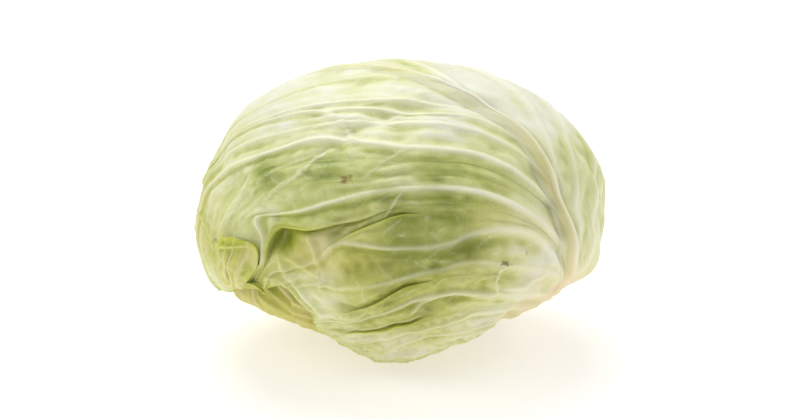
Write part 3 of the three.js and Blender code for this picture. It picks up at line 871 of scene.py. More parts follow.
    def _relief(self, at: Places) -> Relief:
        """Adds up midrib, side ribs, cross veins, folds and the puckers between the ribs.

        The midrib is a bell curve with a groove on either side. The puckers are a swell between two ribs,
        shaken by noise, and streaks that run with the ribs. They fade at the foot and the edge.

        Args:
            at: where the vertices lie.
        Returns:
            The height and its parts.
        """
        u, v, half = at.u, at.v, at.mid_half
        left_of_mid = v > self.middle
        crest = self.midrib_rise * (1 - 0.8 * u) * bell(at.off_mid + 0.25 * half, half)
        groove = (bell(at.from_mid - 2.0 * half, half * 0.7) * (1 - u) ** 0.5 * ease((u - 0.12) / 0.14)
                  * np.where(left_of_mid, 1.0, 0.6))
        shaded_flank = bell(at.off_mid - 0.75 * half, 0.85 * half) * ease((u - 0.02) / 0.1) * (1 - u) ** 1.6
        apart = 1 - bell(at.from_mid, 1.5 * half)
        side_height, side_pale, furrow = self._side_ribs(u, v, at.step)
        between = np.sin(np.pi * (v - np.floor(v))) ** 2 * ease(at.step / 12.0)
        cross = self._cross_veins(v, at.run) * apart * ease((at.step - 4.0) / 10.0)
        across = v * self.SPACING
        broad = self._noise(across, at.run * 0.16, 8.0, Use.STREAK)
        fine = self._noise(across, at.run * 0.22, 3.6, Use.FINE_STREAK)
        streaks = (broad + 0.5 * fine) * ease((at.step - 3.0) / 14.0)
        pillow = between * (0.6 + 0.5 * self._noise(at.x, at.y, 24.0, Use.PILLOW)
                            + 0.35 * self._noise(at.x, at.y, 11.0, Use.SMALL_PILLOW))
        wide_wave = 0.5 * self._noise(at.x * 0.6, at.y, 55.0, Use.BROAD)
        fade = np.sin(np.pi * np.clip(u, 0, 1)) ** 0.5
        blister = self.pucker * (pillow + wide_wave + 0.1 * streaks * (0.5 + u)) * fade
        folds = np.zeros_like(u)
        crests = np.zeros_like(u)
        for fold in self.folds:
            high, light = fold.over(at.front_x, at.front_y)
            folds = folds + high
            crests = np.maximum(crests, light)
        height = crest - groove + side_height * apart + blister + 0.35 * cross * fade + folds
        return Relief(height=height, groove=groove, shaded_flank=shaded_flank, ribs=side_pale * apart, furrow=furrow,
                      cross=cross, crests=crests, pillow=pillow, between=between, streaks=streaks)

    def _stand(self, at: Places, hollow: Array) -> Array:
        """How far the leaf stands off the pile: its room less its hollows, the edge's waves and its curl.

        Args:
            at: where the vertices lie.
            hollow: mm that the hollows take away.
        Returns:
            Millimetres.
        """
        room = self.room * np.sin(np.pi * mix(0.12, 0.88, at.u))
        room = room * ease(at.v / 3) * ease((self.intervals - at.v) / 1.5)
        room = room + total(self.room_marks, at.front_x, at.front_y)
        at_edge = np.maximum(ease(1 - at.to_edge / self.EDGE_REACH),
                             0.6 * ease(1 - at.to_side / self.SIDE_REACH))
        uneven = 0.8 + 0.8 * self._noise(at.v * 11.0, at.u * 0, 30.0, Use.EDGE_WAVE)
        wave = self.edge_wave * at_edge * uneven
        curl = self.edge_curl * ease(1 - at.to_edge / self.CURL_REACH)
        return np.maximum(room - hollow, 0) + np.maximum(wave, 0) + curl

    def _scars(self, at: Places) -> Array:
        """Brown scars with ragged outlines: the inside of each mark's reach, shaken by noise.

        Args:
            at: where the vertices lie.
        Returns:
            From 0 to 1.
        """
        scar = np.zeros_like(at.u)
        shaken = 0.7 * self._noise(at.front_x, at.front_y, 3.5, Use.SCAR)
        for mark in self.scars:
            worn = np.hypot(at.front_x - mark.at[0], (at.front_y - mark.at[1]) * 0.6) + shaken
            scar = np.maximum(scar, mark.amount * ease(mark.reach - worn))
        return scar

    def _dress(self, at: Places, relief: Relief, hollow: Array, creased: Array, lip: Array) -> None:
        """Sets the two tint attributes, each channel a weighted sum of relief, nearness and painted marks.

        The first holds vein on the crests; lime along the rim and on the creases' noses, and as painted
        shade in their dips; blanch at the foot and the midrib, with marks that are partly painted light; and
        painted shade in olive in hollows, creases, the groove beside the midrib and on its left flank. The
        second holds scar; green in broad patches, with marks that are partly painted shade; yellow, with
        painted shade in the groove and on the midrib's left flank; and painted shade as darker green in the
        valleys between the puckers and the furrows beside the ribs.

        Args:
            at: where the vertices lie.
            relief: the relief of the blade.
            hollow: mm that the hollows take away.
            creased: mm that the creases add.
            lip: from 0 to 1 on the noses of the creases.
        """
        u, half = at.u, at.mid_half
        painted = {tint: total(self.paint.get(tint, ()), at.front_x, at.front_y) for tint in Tint}
        stripe = np.maximum(bell(at.off_mid + 0.6 * half, half * 0.5),
                            0.5 * bell(at.off_mid - 1.7 * half, half * 0.4) * ease(u / 0.2))
        faint = 0.3 * self.vein_show * relief.cross * (1 - 0.4 * u)
        vein = np.maximum.reduce([self.vein_show * stripe, relief.ribs, faint, relief.crests])
        vein = vein * (1 - np.clip(painted[Tint.PLAIN], 0, 1))
        rim = np.minimum(at.to_edge, at.to_side + 0.4)
        sunk = -creased
        # Lime along the rim, at the far edge, from marks and on the creases' noses; in the creases' dips it
        # is painted shade.
        lime = 0.8 * bell(rim, 1.7) + 0.3 * bell(at.to_edge, 9.0) + painted[Tint.LIME]
        lime = np.maximum(lime, 0.7 * lip) + np.clip(sunk / 4.0, 0, 0.45)
        # Blanch: the leaf's pale foot and midrib, plus marks that are partly painted light, on a lit lower
        # edge and warm light from the floor on the bottom.
        blanch_and_painted_light = 0.6 * bell(at.run, 20.0) * (at.length > self.LONG_RIB) + painted[Tint.BLANCH]
        blanch_and_painted_light = blanch_and_painted_light + 0.45 * bell(at.from_mid, half) * (1 - u)
        # Olive is painted shade: in the hollows, in the creases' dips, in the groove beside the midrib, on
        # its left flank and at the marked shadow spots.
        shade_olive = np.clip(hollow / 9.0, 0, 1) + np.clip(sunk / 6.0, 0, 0.3)
        shade_olive = shade_olive + 0.6 * relief.groove + 0.14 * relief.shaded_flank + painted[Tint.OLIVE]
        uneven = np.clip(self._noise(at.x * 0.8, at.y * 0.5, 70.0, Use.PATCH), -1, 1)
        # Green: the leaf's own broad patches, and marks that are partly painted shade, darker in shaded
        # hollows and paler where they lift shaded spots.
        green_and_painted_shade = 0.5 + 0.14 * uneven + painted[Tint.GREEN]
        # Yellow: the leaf's own, plus painted shade in the groove and on the midrib's left flank.
        yellow_and_painted_shade = self.yellow + 0.75 * relief.shaded_flank + 0.3 * relief.groove + painted[Tint.YOUNG]
        # Painted shade: darker green in the valleys between the puckers and in the furrows beside the ribs,
        # lighter on the puckers.
        painted_valley_shade = 0.4 - 0.5 * relief.pillow * relief.between ** 0.5
        painted_valley_shade = painted_valley_shade - 0.1 * relief.streaks + 0.7 * relief.furrow
        self.tint = np.clip(np.stack([vein, lime, blanch_and_painted_light, shade_olive], -1), 0, 1)
        self.marks = np.clip(np.stack([self._scars(at), green_and_painted_shade, yellow_and_painted_shade, painted_valley_shade], -1), 0, 1)

    def shape(self, support: PileMap) -> "Leaf":
        """Works out the leaf's grid, heights and tints over what it lies on.

        Args:
            support: the pile under the leaf, already spread.
        Returns:
            The leaf itself.
        """
        rows = np.linspace(0, 1, self.rows + 1) ** self.ROW_POWER
        u, v = np.broadcast_arrays(rows[:, None], self.v[None, :])
        ragged = 1 - self.edge_ragged * (1 - self._noise(v * 9.0, v * 0.0, 14.0, Use.RAGGED))
        self.u = u * np.minimum(mix(np.ones_like(u), ragged, ease((u - 0.6) / 0.4)), 1.0)
        shift, creased, give, lip = self._creases(self.u)
        plain = self.flat(self.u, v)
        self.xy = plain + shift
        self.g = self.place.wrap(self.xy)
        at = self._places(u, v, plain)
        relief = self._relief(at)
        hollow = total(self.hollows, at.front_x, at.front_y)
        base = support.sample(self.g) + self.gap + self._stand(at, hollow)
        self.lower_height = base - give
        self.height = base + self.blade + np.maximum(relief.height, -self.blade * 0.4) + creased
        self._dress(at, relief, hollow, creased, lip)
        return self

    def _lowest_near(self) -> Array:
        """The lowest height of the upper face within three rows and columns of each place.

        Returns:
            Millimetres.
        """
        low = self.height
        for axis in (0, 1):
            pad = [(3, 3) if k == axis else (0, 0) for k in (0, 1)]
            padded = np.pad(low, pad, mode="edge")
            low = np.min([np.take(padded, np.arange(low.shape[axis]) + k, axis) for k in range(7)], axis=0)
        return low

    def build(self, head: "Head") -> bpy.types.Object:
        """Makes the leaf's mesh, closed by a coarser lower face.

        Args:
            head: places heights on the head.
        Returns:
            The piece.
        """
        floor = self.FLOOR_GAP - OUTER.rest_height
        upper = head.place(self.g, self.height)
        count = len(self.v)
        inside_fold = {c for c in range(count) if self.fold[c] >= 0 and 0 < self.share[c] < 1}
        plain = [c for c in range(count) if c not in inside_fold]
        rows = np.unique(np.r_[np.arange(0, self.rows + 1, 3), self.rows])
        columns = np.array(sorted({*plain[::3], 0, count - 1}))
        grid = np.ix_(rows, columns)
        under = np.minimum(self.lower_height, self._lowest_near() - 0.7 * self.blade)
        lower = head.place(self.g[grid], under[grid])
        upper[..., 2] = np.maximum(upper[..., 2], floor)
        lower[..., 2] = np.maximum(lower[..., 2], floor + self.FLOOR_BLADE)
        points, faces = closed_sheet(upper, lower, rows, columns)
        uv = np.vstack([self.xy.reshape(-1, 2), self.xy[grid].reshape(-1, 2)]) / DRAWING_WIDTH + 0.5
        tints = {key: np.vstack([values.reshape(-1, 4), values[grid].reshape(-1, 4)])
                 for key, values in (("tint", self.tint), ("marks", self.marks))}
        return add_object(self.name, points, faces, self.name if self.node else None, tints, uv)


# ---- The leaves that show: ribs, folds and paint -------------------------------------------------
FRONT_MIDRIB = ((-20, -122), (-20, -92), (-15, -78), (-9, -67), (-1, -57), (6, -48), (15, -41), (27, -34),
                (38, -27), (48, -18), (60, -7), (72, 4), (86, 17), (108, 38), (134, 76), (158, 116))
CAP_MIDRIB = ((8, 188), (12, 172), (17, 153), (24, 136))
TIP_MIDRIB = ((6, 176), (-5, 170), (-15, 164), (-24, 161))
FRONT_RIBS = (
    Rib(0.0, ((22, -116), (58, -112), (96, -92)), swell=0.5),
    Rib(0.04, ((8, -98), (36, -88), (70, -78), (108, -60)), swell=0.9),
    Rib(0.1, ((4, -76), (20, -70), (40, -68), (76, -60), (118, -36)), swell=1.0),
    Rib(0.18, ((12, -57), (26, -52), (44, -50), (84, -44), (134, -12)), swell=1.0),
    Rib(0.29, ((28, -40), (44, -38), (64, -33), (104, -16), (148, 18)), swell=1.1),
    Rib(0.46, ((72, -5), (95, 4), (125, 26), (158, 64)), swell=0.9),
    Rib(1.0, midrib=True),
    Rib(0.52, ((82, 26), (88, 48), (98, 76), (112, 104), (132, 130), (146, 156)), swell=0.8),
    Rib(0.39, ((50, -4), (54, 10), (61, 31), (70, 53), (80, 73), (88, 90), (102, 112), (122, 134),
        (140, 164), (148, 204)), swell=1.2),
    Rib(0.35, ((43, -8), (48, 20), (56, 38), (65, 56), (74, 70), (84, 88), (96, 108), (110, 130),
        (124, 160), (122, 224)), swell=1.2),
    Rib(0.31, ((34, -10), (39, 9), (44, 29), (50, 46), (60, 68), (72, 92), (88, 116), (100, 140),
        (106, 180), (100, 262)), swell=0.9),
    Rib(0.25, ((14, -26), (22, -6), (25, 15), (29, 33), (37, 48), (49, 68), (56, 88), (65, 104),
        (77, 120), (86, 142), (86, 180), (72, 262)), swell=1.35),
    Rib(0.235, ((9, -28), (16, -4), (18, 20), (22, 42), (31, 62), (42, 84), (51, 102), (58, 122),
        (58, 148), (60, 180), (48, 252)), swell=0.0),
    Rib(0.22, ((4, -30), (10, -4), (12, 20), (14, 44), (20, 64), (28, 84), (37, 102), (40, 122),
        (38, 146), (36, 172), (24, 228)), swell=0.0),
    Rib(0.2, ((-4, -38), (0, -22), (3, -6), (5, 24), (7, 53), (9, 72), (12, 90), (20, 107), (26, 118),
        (17, 124), (8, 129), (-1, 136), (-2, 154), (-2, 180)), swell=1.5),
    Rib(0.18, ((-6, -36), (-4, -8), (-4, 20), (-4, 41), (-6, 58), (-4, 74), (-1, 89), (5, 99), (11, 110),
        (8, 121), (-3, 133), (-7, 150), (-8, 168)), swell=0.0,
        crease=Crease(0.5, 0.93, 3.8, 1.8, Side.RIGHT, 0.26, 0.12)),
    Rib(0.16, ((-8, -38), (-9, -10), (-9, 15), (-8, 34), (-11, 52), (-13, 66), (-15, 80), (-17, 95),
        (-14, 114), (-9, 134), (-12, 160)), swell=0.0,
        crease=Crease(0.5, 0.74, 2.2, 1.3, Side.LEFT, 0.06, 0.12)),
    Rib(0.14, ((-14, -50), (-11, -34), (-12, -20), (-17, -2), (-23, 10), (-26, 27), (-25, 44), (-20, 61),
        (-16, 76), (-22, 92), (-20, 114), (-14, 138), (-20, 158)), swell=0.95),
    Rib(0.1, ((-22, -66), (-26, -46), (-30, -24), (-31, -9), (-34, 4), (-38, 13), (-41, 27), (-45, 44),
        (-48, 62), (-46, 84), (-38, 108), (-29, 136)), swell=0.6),
    Rib(0.07, ((-32, -58), (-35, -32), (-38, -10), (-42, 10), (-46, 21), (-51, 36), (-57, 47), (-64, 58),
        (-70, 72), (-72, 88), (-68, 106), (-58, 128)), swell=0.0,
        crease=Crease(0.52, 0.9, 1.6, 1.1, Side.LEFT, 0.1, 0.2)),
    Rib(0.05, ((-40, -60), (-48, -34), (-51, -12), (-53, 4), (-58, 20), (-66, 36), (-76, 56), (-84, 76),
        (-86, 94), (-84, 114), (-80, 134)), swell=0.9),
    Rib(0.04, ((-46, -68), (-58, -36), (-68, -8), (-76, 8), (-82, 21), (-90, 34), (-98, 50), (-104, 72),
        (-106, 98), (-104, 146)), swell=0.0, crease=Crease(0.5, 0.98, 2.0, 1.0, Side.LEFT, 0.1, 0.2)),
    Rib(0.03, ((-50, -74), (-60, -46), (-68, -24), (-79, -8), (-89, 2), (-97, 14), (-106, 28), (-120, 46),
        (-134, 74), (-146, 134)), swell=0.8),
    Rib(0.02, ((-54, -88), (-74, -62), (-90, -32), (-102, -10), (-112, 8), (-128, 24), (-154, 40),
        (-206, 112)), swell=0.8),
    Rib(0.0, ((-46, -108), (-82, -94), (-124, -72), (-160, -40), (-202, -6), (-246, 72)), swell=0.4),
)
CAP_RIBS = (
    Rib(0.0, ((-4, 174), (-5, 156), (-3, 140), (4, 131), (13, 127)), swell=0.3),
    Rib(0.0, ((3, 172), (6, 152), (11, 138), (18, 130)), swell=0.8),
    Rib(1.0, midrib=True),
    Rib(0.0, ((18, 172), (24, 155), (30, 140)), swell=0.7),
    Rib(0.0, ((25, 176), (34, 160), (37, 147)), swell=0.3),
)
TIP_RIBS = (
    Rib(0.0, ((-4, 176), (-14, 170), (-25, 164)), swell=0.3),
    Rib(1.0, midrib=True),
    Rib(0.0, ((-4, 165), (-13, 159), (-23, 158)), swell=0.3),
)
FRONT_FOLDS = (
    Fold(((0, 92), (-13, 91), (-26, 92), (-36, 97), (-46, 104)), 2.6, 2.6, 0.35),
    Fold(((-2, 120), (-10, 115), (-18, 109), (-29, 101), (-35, 95)), 2.8, 2.0, 0.2),
    Fold(((3, 122), (-5, 120), (-24, 122), (-45, 120), (-79, 114)), 3.2, 2.6, 0.4),
    Fold(((-10, 150), (-20, 136), (-32, 130), (-50, 128), (-70, 124)), 2.4, 1.5, 0.2),
    Fold(((92, 160), (72, 163), (58, 165), (39, 168)), 1.8, 1.2, 0.15),
    Fold(((78, 150), (60, 157), (44, 163), (33, 167)), 1.8, 1.2, 0.15),
    Fold(((36, 48), (41, 51), (46, 52), (54, 52), (62, 56), (70, 65)), 1.1, 1.1, 1.0),
    Fold(((38, 58), (39, 64), (38, 72), (34, 78), (31, 88)), 1.0, 0.6, 0.8),
    Fold(((62, 102), (56, 113), (46, 126)), 0.9, 0.5, 0.5),
    Fold(((37, 79), (32, 86), (32, 101), (30, 120)), 0.8, 0.45, 0.5),
    Fold(((27, 24), (25, 30), (20, 43), (14, 53)), 0.7, 0.4, 0.45),
    Fold(((5, 33), (-5, 42), (-9, 46)), 0.8, 0.5, 0.5),
    Fold(((38, 126), (32, 134), (30, 142)), 0.9, 0.6, 0.3),
    Fold(((-50, -32), (-52, -12), (-52, 2), (-56, 14), (-66, 26), (-80, 32)), 3.4, 2.2, 0.45),
    Fold(((-76, 14), (-80, 26), (-89, 41), (-97, 63), (-103, 89), (-108, 116)), 2.4, 1.4, 0.35),
    Fold(((-63, -25), (-81, -6), (-97, 18), (-115, 60), (-132, 93)), 2.6, 2.0, 0.5),
    Fold(((-104, 2), (-112, 16), (-131, 34), (-160, 51), (-190, 66)), 2.8, 2.2, 0.5),
    Fold(((-150, -6), (-156, 14), (-180, 30), (-206, 44)), 3.0, 2.4, 0.3),
    Fold(((0, 4), (-5, -10), (-6, -24), (-8, -36), (-14, -50)), 4.0, 1.3, 0.0),
    Fold(((-22, -104), (-33, -95), (-44, -87), (-55, -77), (-66, -62)), 9.0, 5.8, 0.0),
    Fold(((72, 64), (57, 55), (49, 52), (44, 53), (38, 51)), 0.9, 0.6, 0.8),
    Fold(((59, 104), (55, 111), (50, 122), (45, 131), (43, 142)), 1.2, 0.6, 0.5),
    Fold(((38, 61), (37, 72), (33, 83), (34, 96), (32, 110), (24, 122)), 1.0, 0.5, 0.45),
    Fold(((44, 60), (40, 76), (44, 92), (46, 108), (38, 122)), 0.9, 0.4, 0.35),
    Fold(((76, 119), (70, 132), (60, 146), (54, 160)), 1.2, 0.5, 0.4),
    Fold(((-27, -28), (-33, -23), (-41, -23), (-50, -30)), 1.6, 0.9, 0.7),
    Fold(((-24, -58), (-38, -46), (-46, -28)), 2.4, 1.0, 0.8),
)
# Marks on the front leaf. The olive ones are painted shade at shadowed spots. Some green, young and lime
# marks sit on shaded valleys, the bowl and the seam by the cap and tint the shade there: painted shade. Some
# green marks below zero lift shaded spots: painted light. Some blanch marks are painted light: a lit lower
# edge, and warm light from the floor on the bottom. The rest are the leaf's own colour.
FRONT_PAINT = {
    Tint.LIME: marks((13, 100, 11, 0.4), (1, 74, 8, 0.35), (-45, 14, 7, 0.3), (40, 164, 30, 0.12),
        (-6, 150, 20, 0.2), (-2, 112, 12, 0.25), (-158, 16, 12, 0.3), (30, 136, 9, 0.3),
        (82, 164, 12, 0.3), (2, 111, 9, 0.85), (2, 92, 8, 0.4), (72, 162, 7, 0.35), (60, 170, 9, 0.35),
        (50, 178, 9, 0.35), (-10, 140, 11, 0.3), (60, 190, 14, 0.25), (40, 176, 12, 0.25),
        (44, 164, 9, 0.3)),
    Tint.GREEN: marks((-11, 36, 18, 0.6), (10, -8, 14, 0.15), (-56, 34, 34, 0.15), (66, 41, 10, 0.15),
        (-24, 62, 18, 0.15), (-150, 10, 46, -0.3), (100, 50, 50, -0.36), (-40, -44, 34, -0.35),
        (-28, 69, 12, 0.45), (16, 14, 13, 0.25), (-33, 39, 12, 0.25), (-19, 16, 14, 0.25),
        (35, 6, 11, -0.4), (35, -6, 12, -0.15), (-15, -6, 10, 0.2), (-125, 86, 20, -0.3),
        (-38, -30, 13, 0.5), (-34, -56, 12, -0.1), (54, -30, 12, -0.4), (8, -6, 12, 0.08),
        (-18, 4, 10, 0.2), (-44, -14, 10, 0.2), (62, -32, 36, -0.55), (-27, -4, 9, 0.3),
        (3, 31, 9, -0.45), (-6, 10, 8, 0.3), (-34, 12, 8, 0.3), (-23, -17, 8, 0.25), (-108, -2, 16, 0.3),
        (-130, 18, 14, 0.3), (47, 64, 9, -0.2), (61, 66, 7, 0.3), (-58, 68, 9, -0.35), (-7, 48, 7, -0.35),
        (21, 109, 7, -0.4), (30, 68, 11, 0.45), (49, 100, 10, 0.45), (66, 98, 22, 0.15),
        (-52, 60, 22, 0.2), (-36, 30, 12, 0.2), (-52, 2, 12, 0.2), (48, 174, 22, -0.35),
        (-16, 134, 14, -0.1), (-88, 28, 16, 0.3), (-46, -40, 14, -0.2)),
    Tint.YOUNG: marks((-125, 80, 26, 0.3), (-34, -56, 12, 0.2), (54, -30, 14, -0.3), (-44, -10, 14, 0.2),
        (-6, -12, 12, 0.35), (-10, -38, 11, 0.35), (-16, 104, 16, 0.5), (-6, 150, 14, 0.6),
        (92, 162, 26, 0.5), (-80, 20, 60, 0.4), (-30, 74, 26, 0.45), (0, 111, 12, 0.8),
        (-16, 132, 10, 0.4), (48, 166, 20, 0.6), (20, 190, 16, 0.4), (60, 186, 22, 0.45)),
    Tint.OLIVE: marks((7, -41, 5, 0.45), (-3, -50, 5, 0.35), (16, -32, 5, 0.3), (-27, 3, 7, 0.35),
        (-27, -5, 7, 0.3), (-34, 12, 7, 0.15), (-5, 70, 7, 0.4), (-70, 18, 8, 0.3), (-36, 18, 4, 0.3),
        (-14, 34, 18, 0.2), (3, 111, 8, 0.05), (-16, 134, 8, 0.25)),
    Tint.PLAIN: marks((-18, 100, 24, 0.65)),
    Tint.BLANCH: marks((-16, -80, 8, 0.4), (-30, -88, 9, 0.4), (-32, -58, 12, 0.4), (-11, 86, 7, 0.4),
        (-33, 142, 8, 0.4), (-114, 128, 12, 0.5), (-205, 100, 26, 0.4), (-24, -92, 9, 0.5),
        (-38, -84, 9, 0.55), (-52, -73, 9, 0.5), (-66, -58, 8, 0.4), (-160, 20, 40, 0.3),
        (-56, -66, 14, 0.5), (-22, -104, 18, 0.6)),
}
FRONT_ROOM_MARKS = marks((-8, 104, 26, 5.0), (-42, -74, 17, 2.2))
# Dents in the front leaf; their depth is also painted as olive shade.
FRONT_HOLLOWS = marks((3, 112, 9, 4.6), (-16, 99, 9, 1.2), (-10, 76, 5, 2.0), (-26, 3, 8, 2.6),
    (-72, 16, 9, 2.2), (-36, 18, 4, 1.0), (12, 30, 13, 1.0), (-80, -46, 14, 2.0), (-62, 88, 9, 1.6),
    (17, 108, 3.5, 1.5), (-10, 20, 14, 1.2), (-42, 66, 12, 0.8))
FRONT_SCARS = marks((18, 60, 2.2, 0.9), (-29, -23.5, 1.8, 0.9), (-20, -34, 0.8, 0.6), (46, 160, 1.6, 0.5),
    (39, 162, 1.2, 0.5), (50, 152, 1.0, 0.4))
LOWER_FOLDS = (
    Fold(((-14, 152), (-27, 150), (-42, 147), (-60, 139), (-90, 124)), 3.0, 2.2, 0.55),
    Fold(((-16, 170), (-30, 164), (-48, 158), (-70, 149), (-96, 136)), 2.6, 2.0, 0.45),
    Fold(((-10, 190), (-30, 182), (-54, 174), (-80, 162), (-106, 150)), 3.0, 2.0, 0.35),
)
# The olive marks are painted shade; the blanch marks near the front leaf's margin are painted light that
# lifts the shade there.
LOWER_PAINT = {
    Tint.OLIVE: marks((-22, 158, 7, 0.3), (-40, 153, 7, 0.2), (-84, 136, 8, 0.1), (-36, 174, 9, 0.2)),
    Tint.GREEN: marks((-64, 147, 14, -0.4), (-74, 168, 22, -0.35)),
    Tint.LIME: marks((-40, 172, 30, 0.25), (-110, 140, 24, 0.3), (-14, 184, 22, 0.25),
        (-26, 162, 8, 0.3)),
    Tint.PLAIN: marks((-50, 160, 40, 0.5)),
    Tint.BLANCH: marks((-34, 142, 8, 0.5), (-74, 140, 9, 0.35), (-106, 132, 10, 0.5)),
}
FAR_FOLDS = (
    Fold(((60, 176), (40, 178), (24, 184), (8, 182)), 2.6, 1.2, 0.3),
    Fold(((80, 192), (52, 192), (30, 196), (12, 188)), 2.6, 1.2, 0.3),
)
FAR_PAINT = {
    Tint.LIME: marks((10, 185, 26, 0.5)),
}
CAP_FOLDS = (
    Fold(((38, 156), (31, 154), (25, 148), (19, 141), (13, 133)), 1.5, 2.6, 0.35),
    Fold(((26, 182), (23, 170), (24, 160), (28, 152)), 1.2, 1.0, 0.3),
    Fold(((2, 178), (0, 164), (4, 150), (12, 140)), 1.4, 1.2, 0.25),
)
# The olive marks are painted shade under the cap's curled top margin.
CAP_PAINT = {
    Tint.LIME: marks((25, 142, 12, 0.5), (16, 156, 26, 0.42), (8, 168, 9, 0.3), (30, 150, 7, 0.4),
        (16, 184, 12, 0.4), (0, 150, 8, 0.4)),
    Tint.OLIVE: marks((20, 149, 4, 0.3), (26, 156, 4, 0.25), (14, 142, 4, 0.2)),
    Tint.GREEN: marks((18, 152, 26, -0.6)),
}
CAP_ROOM_MARKS = marks((14, 152, 15, 2.2), (28, 162, 9, -1.2), (26, 140, 8, 1.2))
TIP_PAINT = {
    Tint.LIME: marks((-10, 166, 20, 0.6)),
}
TIP_ROOM_MARKS = marks((-10, 166, 12, 1.2))


# ---- The head ------------------------------------------------------------------------------------
@dataclass(frozen=True)
class Swirl:
    """Ring of feet round the stem: its middle and the direction square to it."""

    latitude: float = 12.0

    def frame(self) -> tuple[Array, Array]:
        """Middle of the ring and the unit vector out of it: the sum of cross products of its spokes.

        Returns:
            The middle in mm, and the vector.
        """
        lon = np.arange(24) * 15.0
        d = GROWTH.to_head(GROWTH.direction(lon, np.full(24, self.latitude)))
        ring = d * OUTER.radius(d)[:, None]
        middle = ring.mean(0)
        spokes = ring - middle
        axis = unit(np.cross(spokes, np.roll(spokes, -1, axis=0)).sum(0))
        return middle, axis * np.sign(axis @ middle)


def closed_ball(grid: Array, first: Array, last: Array) -> tuple[Array, list[list[int]]]:
    """A closed body from rings of points between two poles.

    Args:
        grid: rings by columns by 3, counter-clockwise when seen with the last pole up.
        first, last: the poles.
    Returns:
        Vertices and faces.
    """
    rings, columns = grid.shape[:2]
    index = 2 + np.arange(rings * columns).reshape(rings, columns)
    ahead = np.roll(index, -1, axis=1)
    quads = np.stack([index[:-1], ahead[:-1], ahead[1:], index[1:]], -1).reshape(-1, 4).tolist()
    first_cap = np.stack([np.zeros(columns, int), ahead[0], index[0]], -1).tolist()
    last_cap = np.stack([np.ones(columns, int), index[-1], ahead[-1]], -1).tolist()
    return np.vstack([first, last, grid.reshape(-1, 3)]), quads + first_cap + last_cap


@dataclass(frozen=True)
class Stem:
    """The short cut stem: a fluted stub whose cut face is a little dished and ringed."""

    radius: float = 14.0
    flare: float = 1.12  # radius of the cut face, as a share
    skirt: float = 0.5  # more radius at the sunk end, where the leaf bases grow from
    shows: float = 3.0  # mm out of the leaves
    sunk: float = 12.0
    rounding: float = 1.2  # mm of the rim
    dish: float = 0.9  # mm that the face is hollow
    columns: int = 96

    def build(self) -> bpy.types.Object:
        """Turns a section round the stem's axis: side, rounded rim and dished cut face.

        Returns:
            The piece.
        """
        middle, axis = Swirl().frame()
        across = unit(np.cross(axis, [0.0, 0.0, 1.0]))
        other = np.cross(axis, across)
        rim_foot = self.shows - self.rounding
        side = [(mix(1.0, self.flare, t) + self.skirt * (1 - t) ** 2.4, mix(-self.sunk, rim_foot, t))
                for t in np.linspace(0, 1, 18)]
        rim = [(self.flare * (1 - 0.09 * t ** 2), rim_foot + self.rounding * np.sin(t * np.pi / 2))
               for t in np.linspace(0.15, 1, 7)]
        face = [(self.flare * 0.91 * r,
                 self.shows - self.dish * (1 - r) ** 0.6 * (0.5 + r) + 0.16 * np.sin(22 * r))
                for r in np.linspace(0.94, 0.06, 22)]
        base = [(r, -self.sunk) for r in np.linspace(0.1, 0.92 + self.skirt, 8)]
        section = np.array(base + side + rim + face)
        share, level = section[:, :1], section[:, 1:]
        angle = np.arange(self.columns) * 2 * np.pi / self.columns
        flutes = 0.03 * np.sin(5 * angle) + 0.015 * np.sin(11 * angle + 1) + 0.008 * np.sin(27 * angle)
        r = self.radius * share * (1 + flutes * share)
        high = level + 0.25 * np.sin(3 * angle + 6 * share) * (level > 0)
        out = np.cos(angle)[:, None] * across + np.sin(angle)[:, None] * other
        grid = middle + r[..., None] * out + high[..., None] * axis
        first = middle - self.sunk * axis
        last = middle + (self.shows - 0.75) * axis
        points, faces = closed_ball(grid, first, last)
        # The cut: on the cut face or not, distance from the axis, rays, and on the cut face once more.
        on_face = np.broadcast_to(level > self.shows - 1.0, r.shape)
        rays = np.broadcast_to(0.5 + 0.5 * np.sin(9 * angle), r.shape)
        poles = [[0.0, 0.0, 0.0, 0.0], [1.0, 0.0, 0.0, 1.0]]
        cut = np.vstack([poles, np.stack([on_face, r / self.radius, rays, on_face], -1).reshape(-1, 4)])
        return add_object("stem_stub", points, faces, "stem", {"cut": cut})


@dataclass(frozen=True)
class Heart:
    """The dense heart: a ball of tight leaves, each lapping over the next in a spiral."""

    step: float = 1.6  # mm from one lap down to the next
    lap_longitude: float = 120.0  # degrees from one lap to the next
    lap_latitude: float = 75.0
    rings: int = 110
    columns: int = 200
    clearance: float = 0.6  # mm between it and the stem

    def build(self, head: "Head") -> bpy.types.Object:
        """Longitude by latitude, with height falling by the step over each lap and soon rising again.

        Args:
            head: places heights on the head.
        Returns:
            The piece.
        """
        middle, axis = Swirl().frame()
        stop = middle @ axis - Stem().sunk - self.clearance
        lat = (np.arange(1, self.rings) * 180.0 / self.rings)[:, None]
        lon = (np.arange(self.columns) * 360.0 / self.columns)[None, :]
        lat, lon = np.broadcast_arrays(lat, lon)

        def points_at(lon: Array, lat: Array) -> Array:
            """Points of the ball, stopped short of the stem.

            Args:
                lon, lat: degrees of growth.
            Returns:
                Millimetres from the middle of the head.
            """
            turns = lon / self.lap_longitude + lat / self.lap_latitude
            lap = turns - np.floor(turns)
            fold = -self.step * np.minimum(lap, (1 - lap) * 9) * np.sin(np.radians(lat)) ** 0.5
            p = head.place(GROWTH.direction(lon, lat), fold + 0.3 * ripples(lon * 0.9, lat * 1.6, 30.0, 71))
            toward = p @ axis
            return p * np.minimum(1.0, stop / np.maximum(toward, 1.0))[..., None]

        poles = points_at(np.zeros(2), np.array([0.0, 180.0]))
        points, faces = closed_ball(points_at(lon, lat), poles[0], poles[1])
        plain = np.zeros((len(points), 4))
        half_green_and_yellow = plain + (0.0, 0.5, 0.9, 0.0)
        uv = np.vstack([np.zeros((2, 2)), np.stack([lon / 90, lat / 90], -1).reshape(-1, 2)])
        return add_object("heart_ball", points, faces, "heart",
                          {"tint": plain, "marks": half_green_and_yellow}, uv)


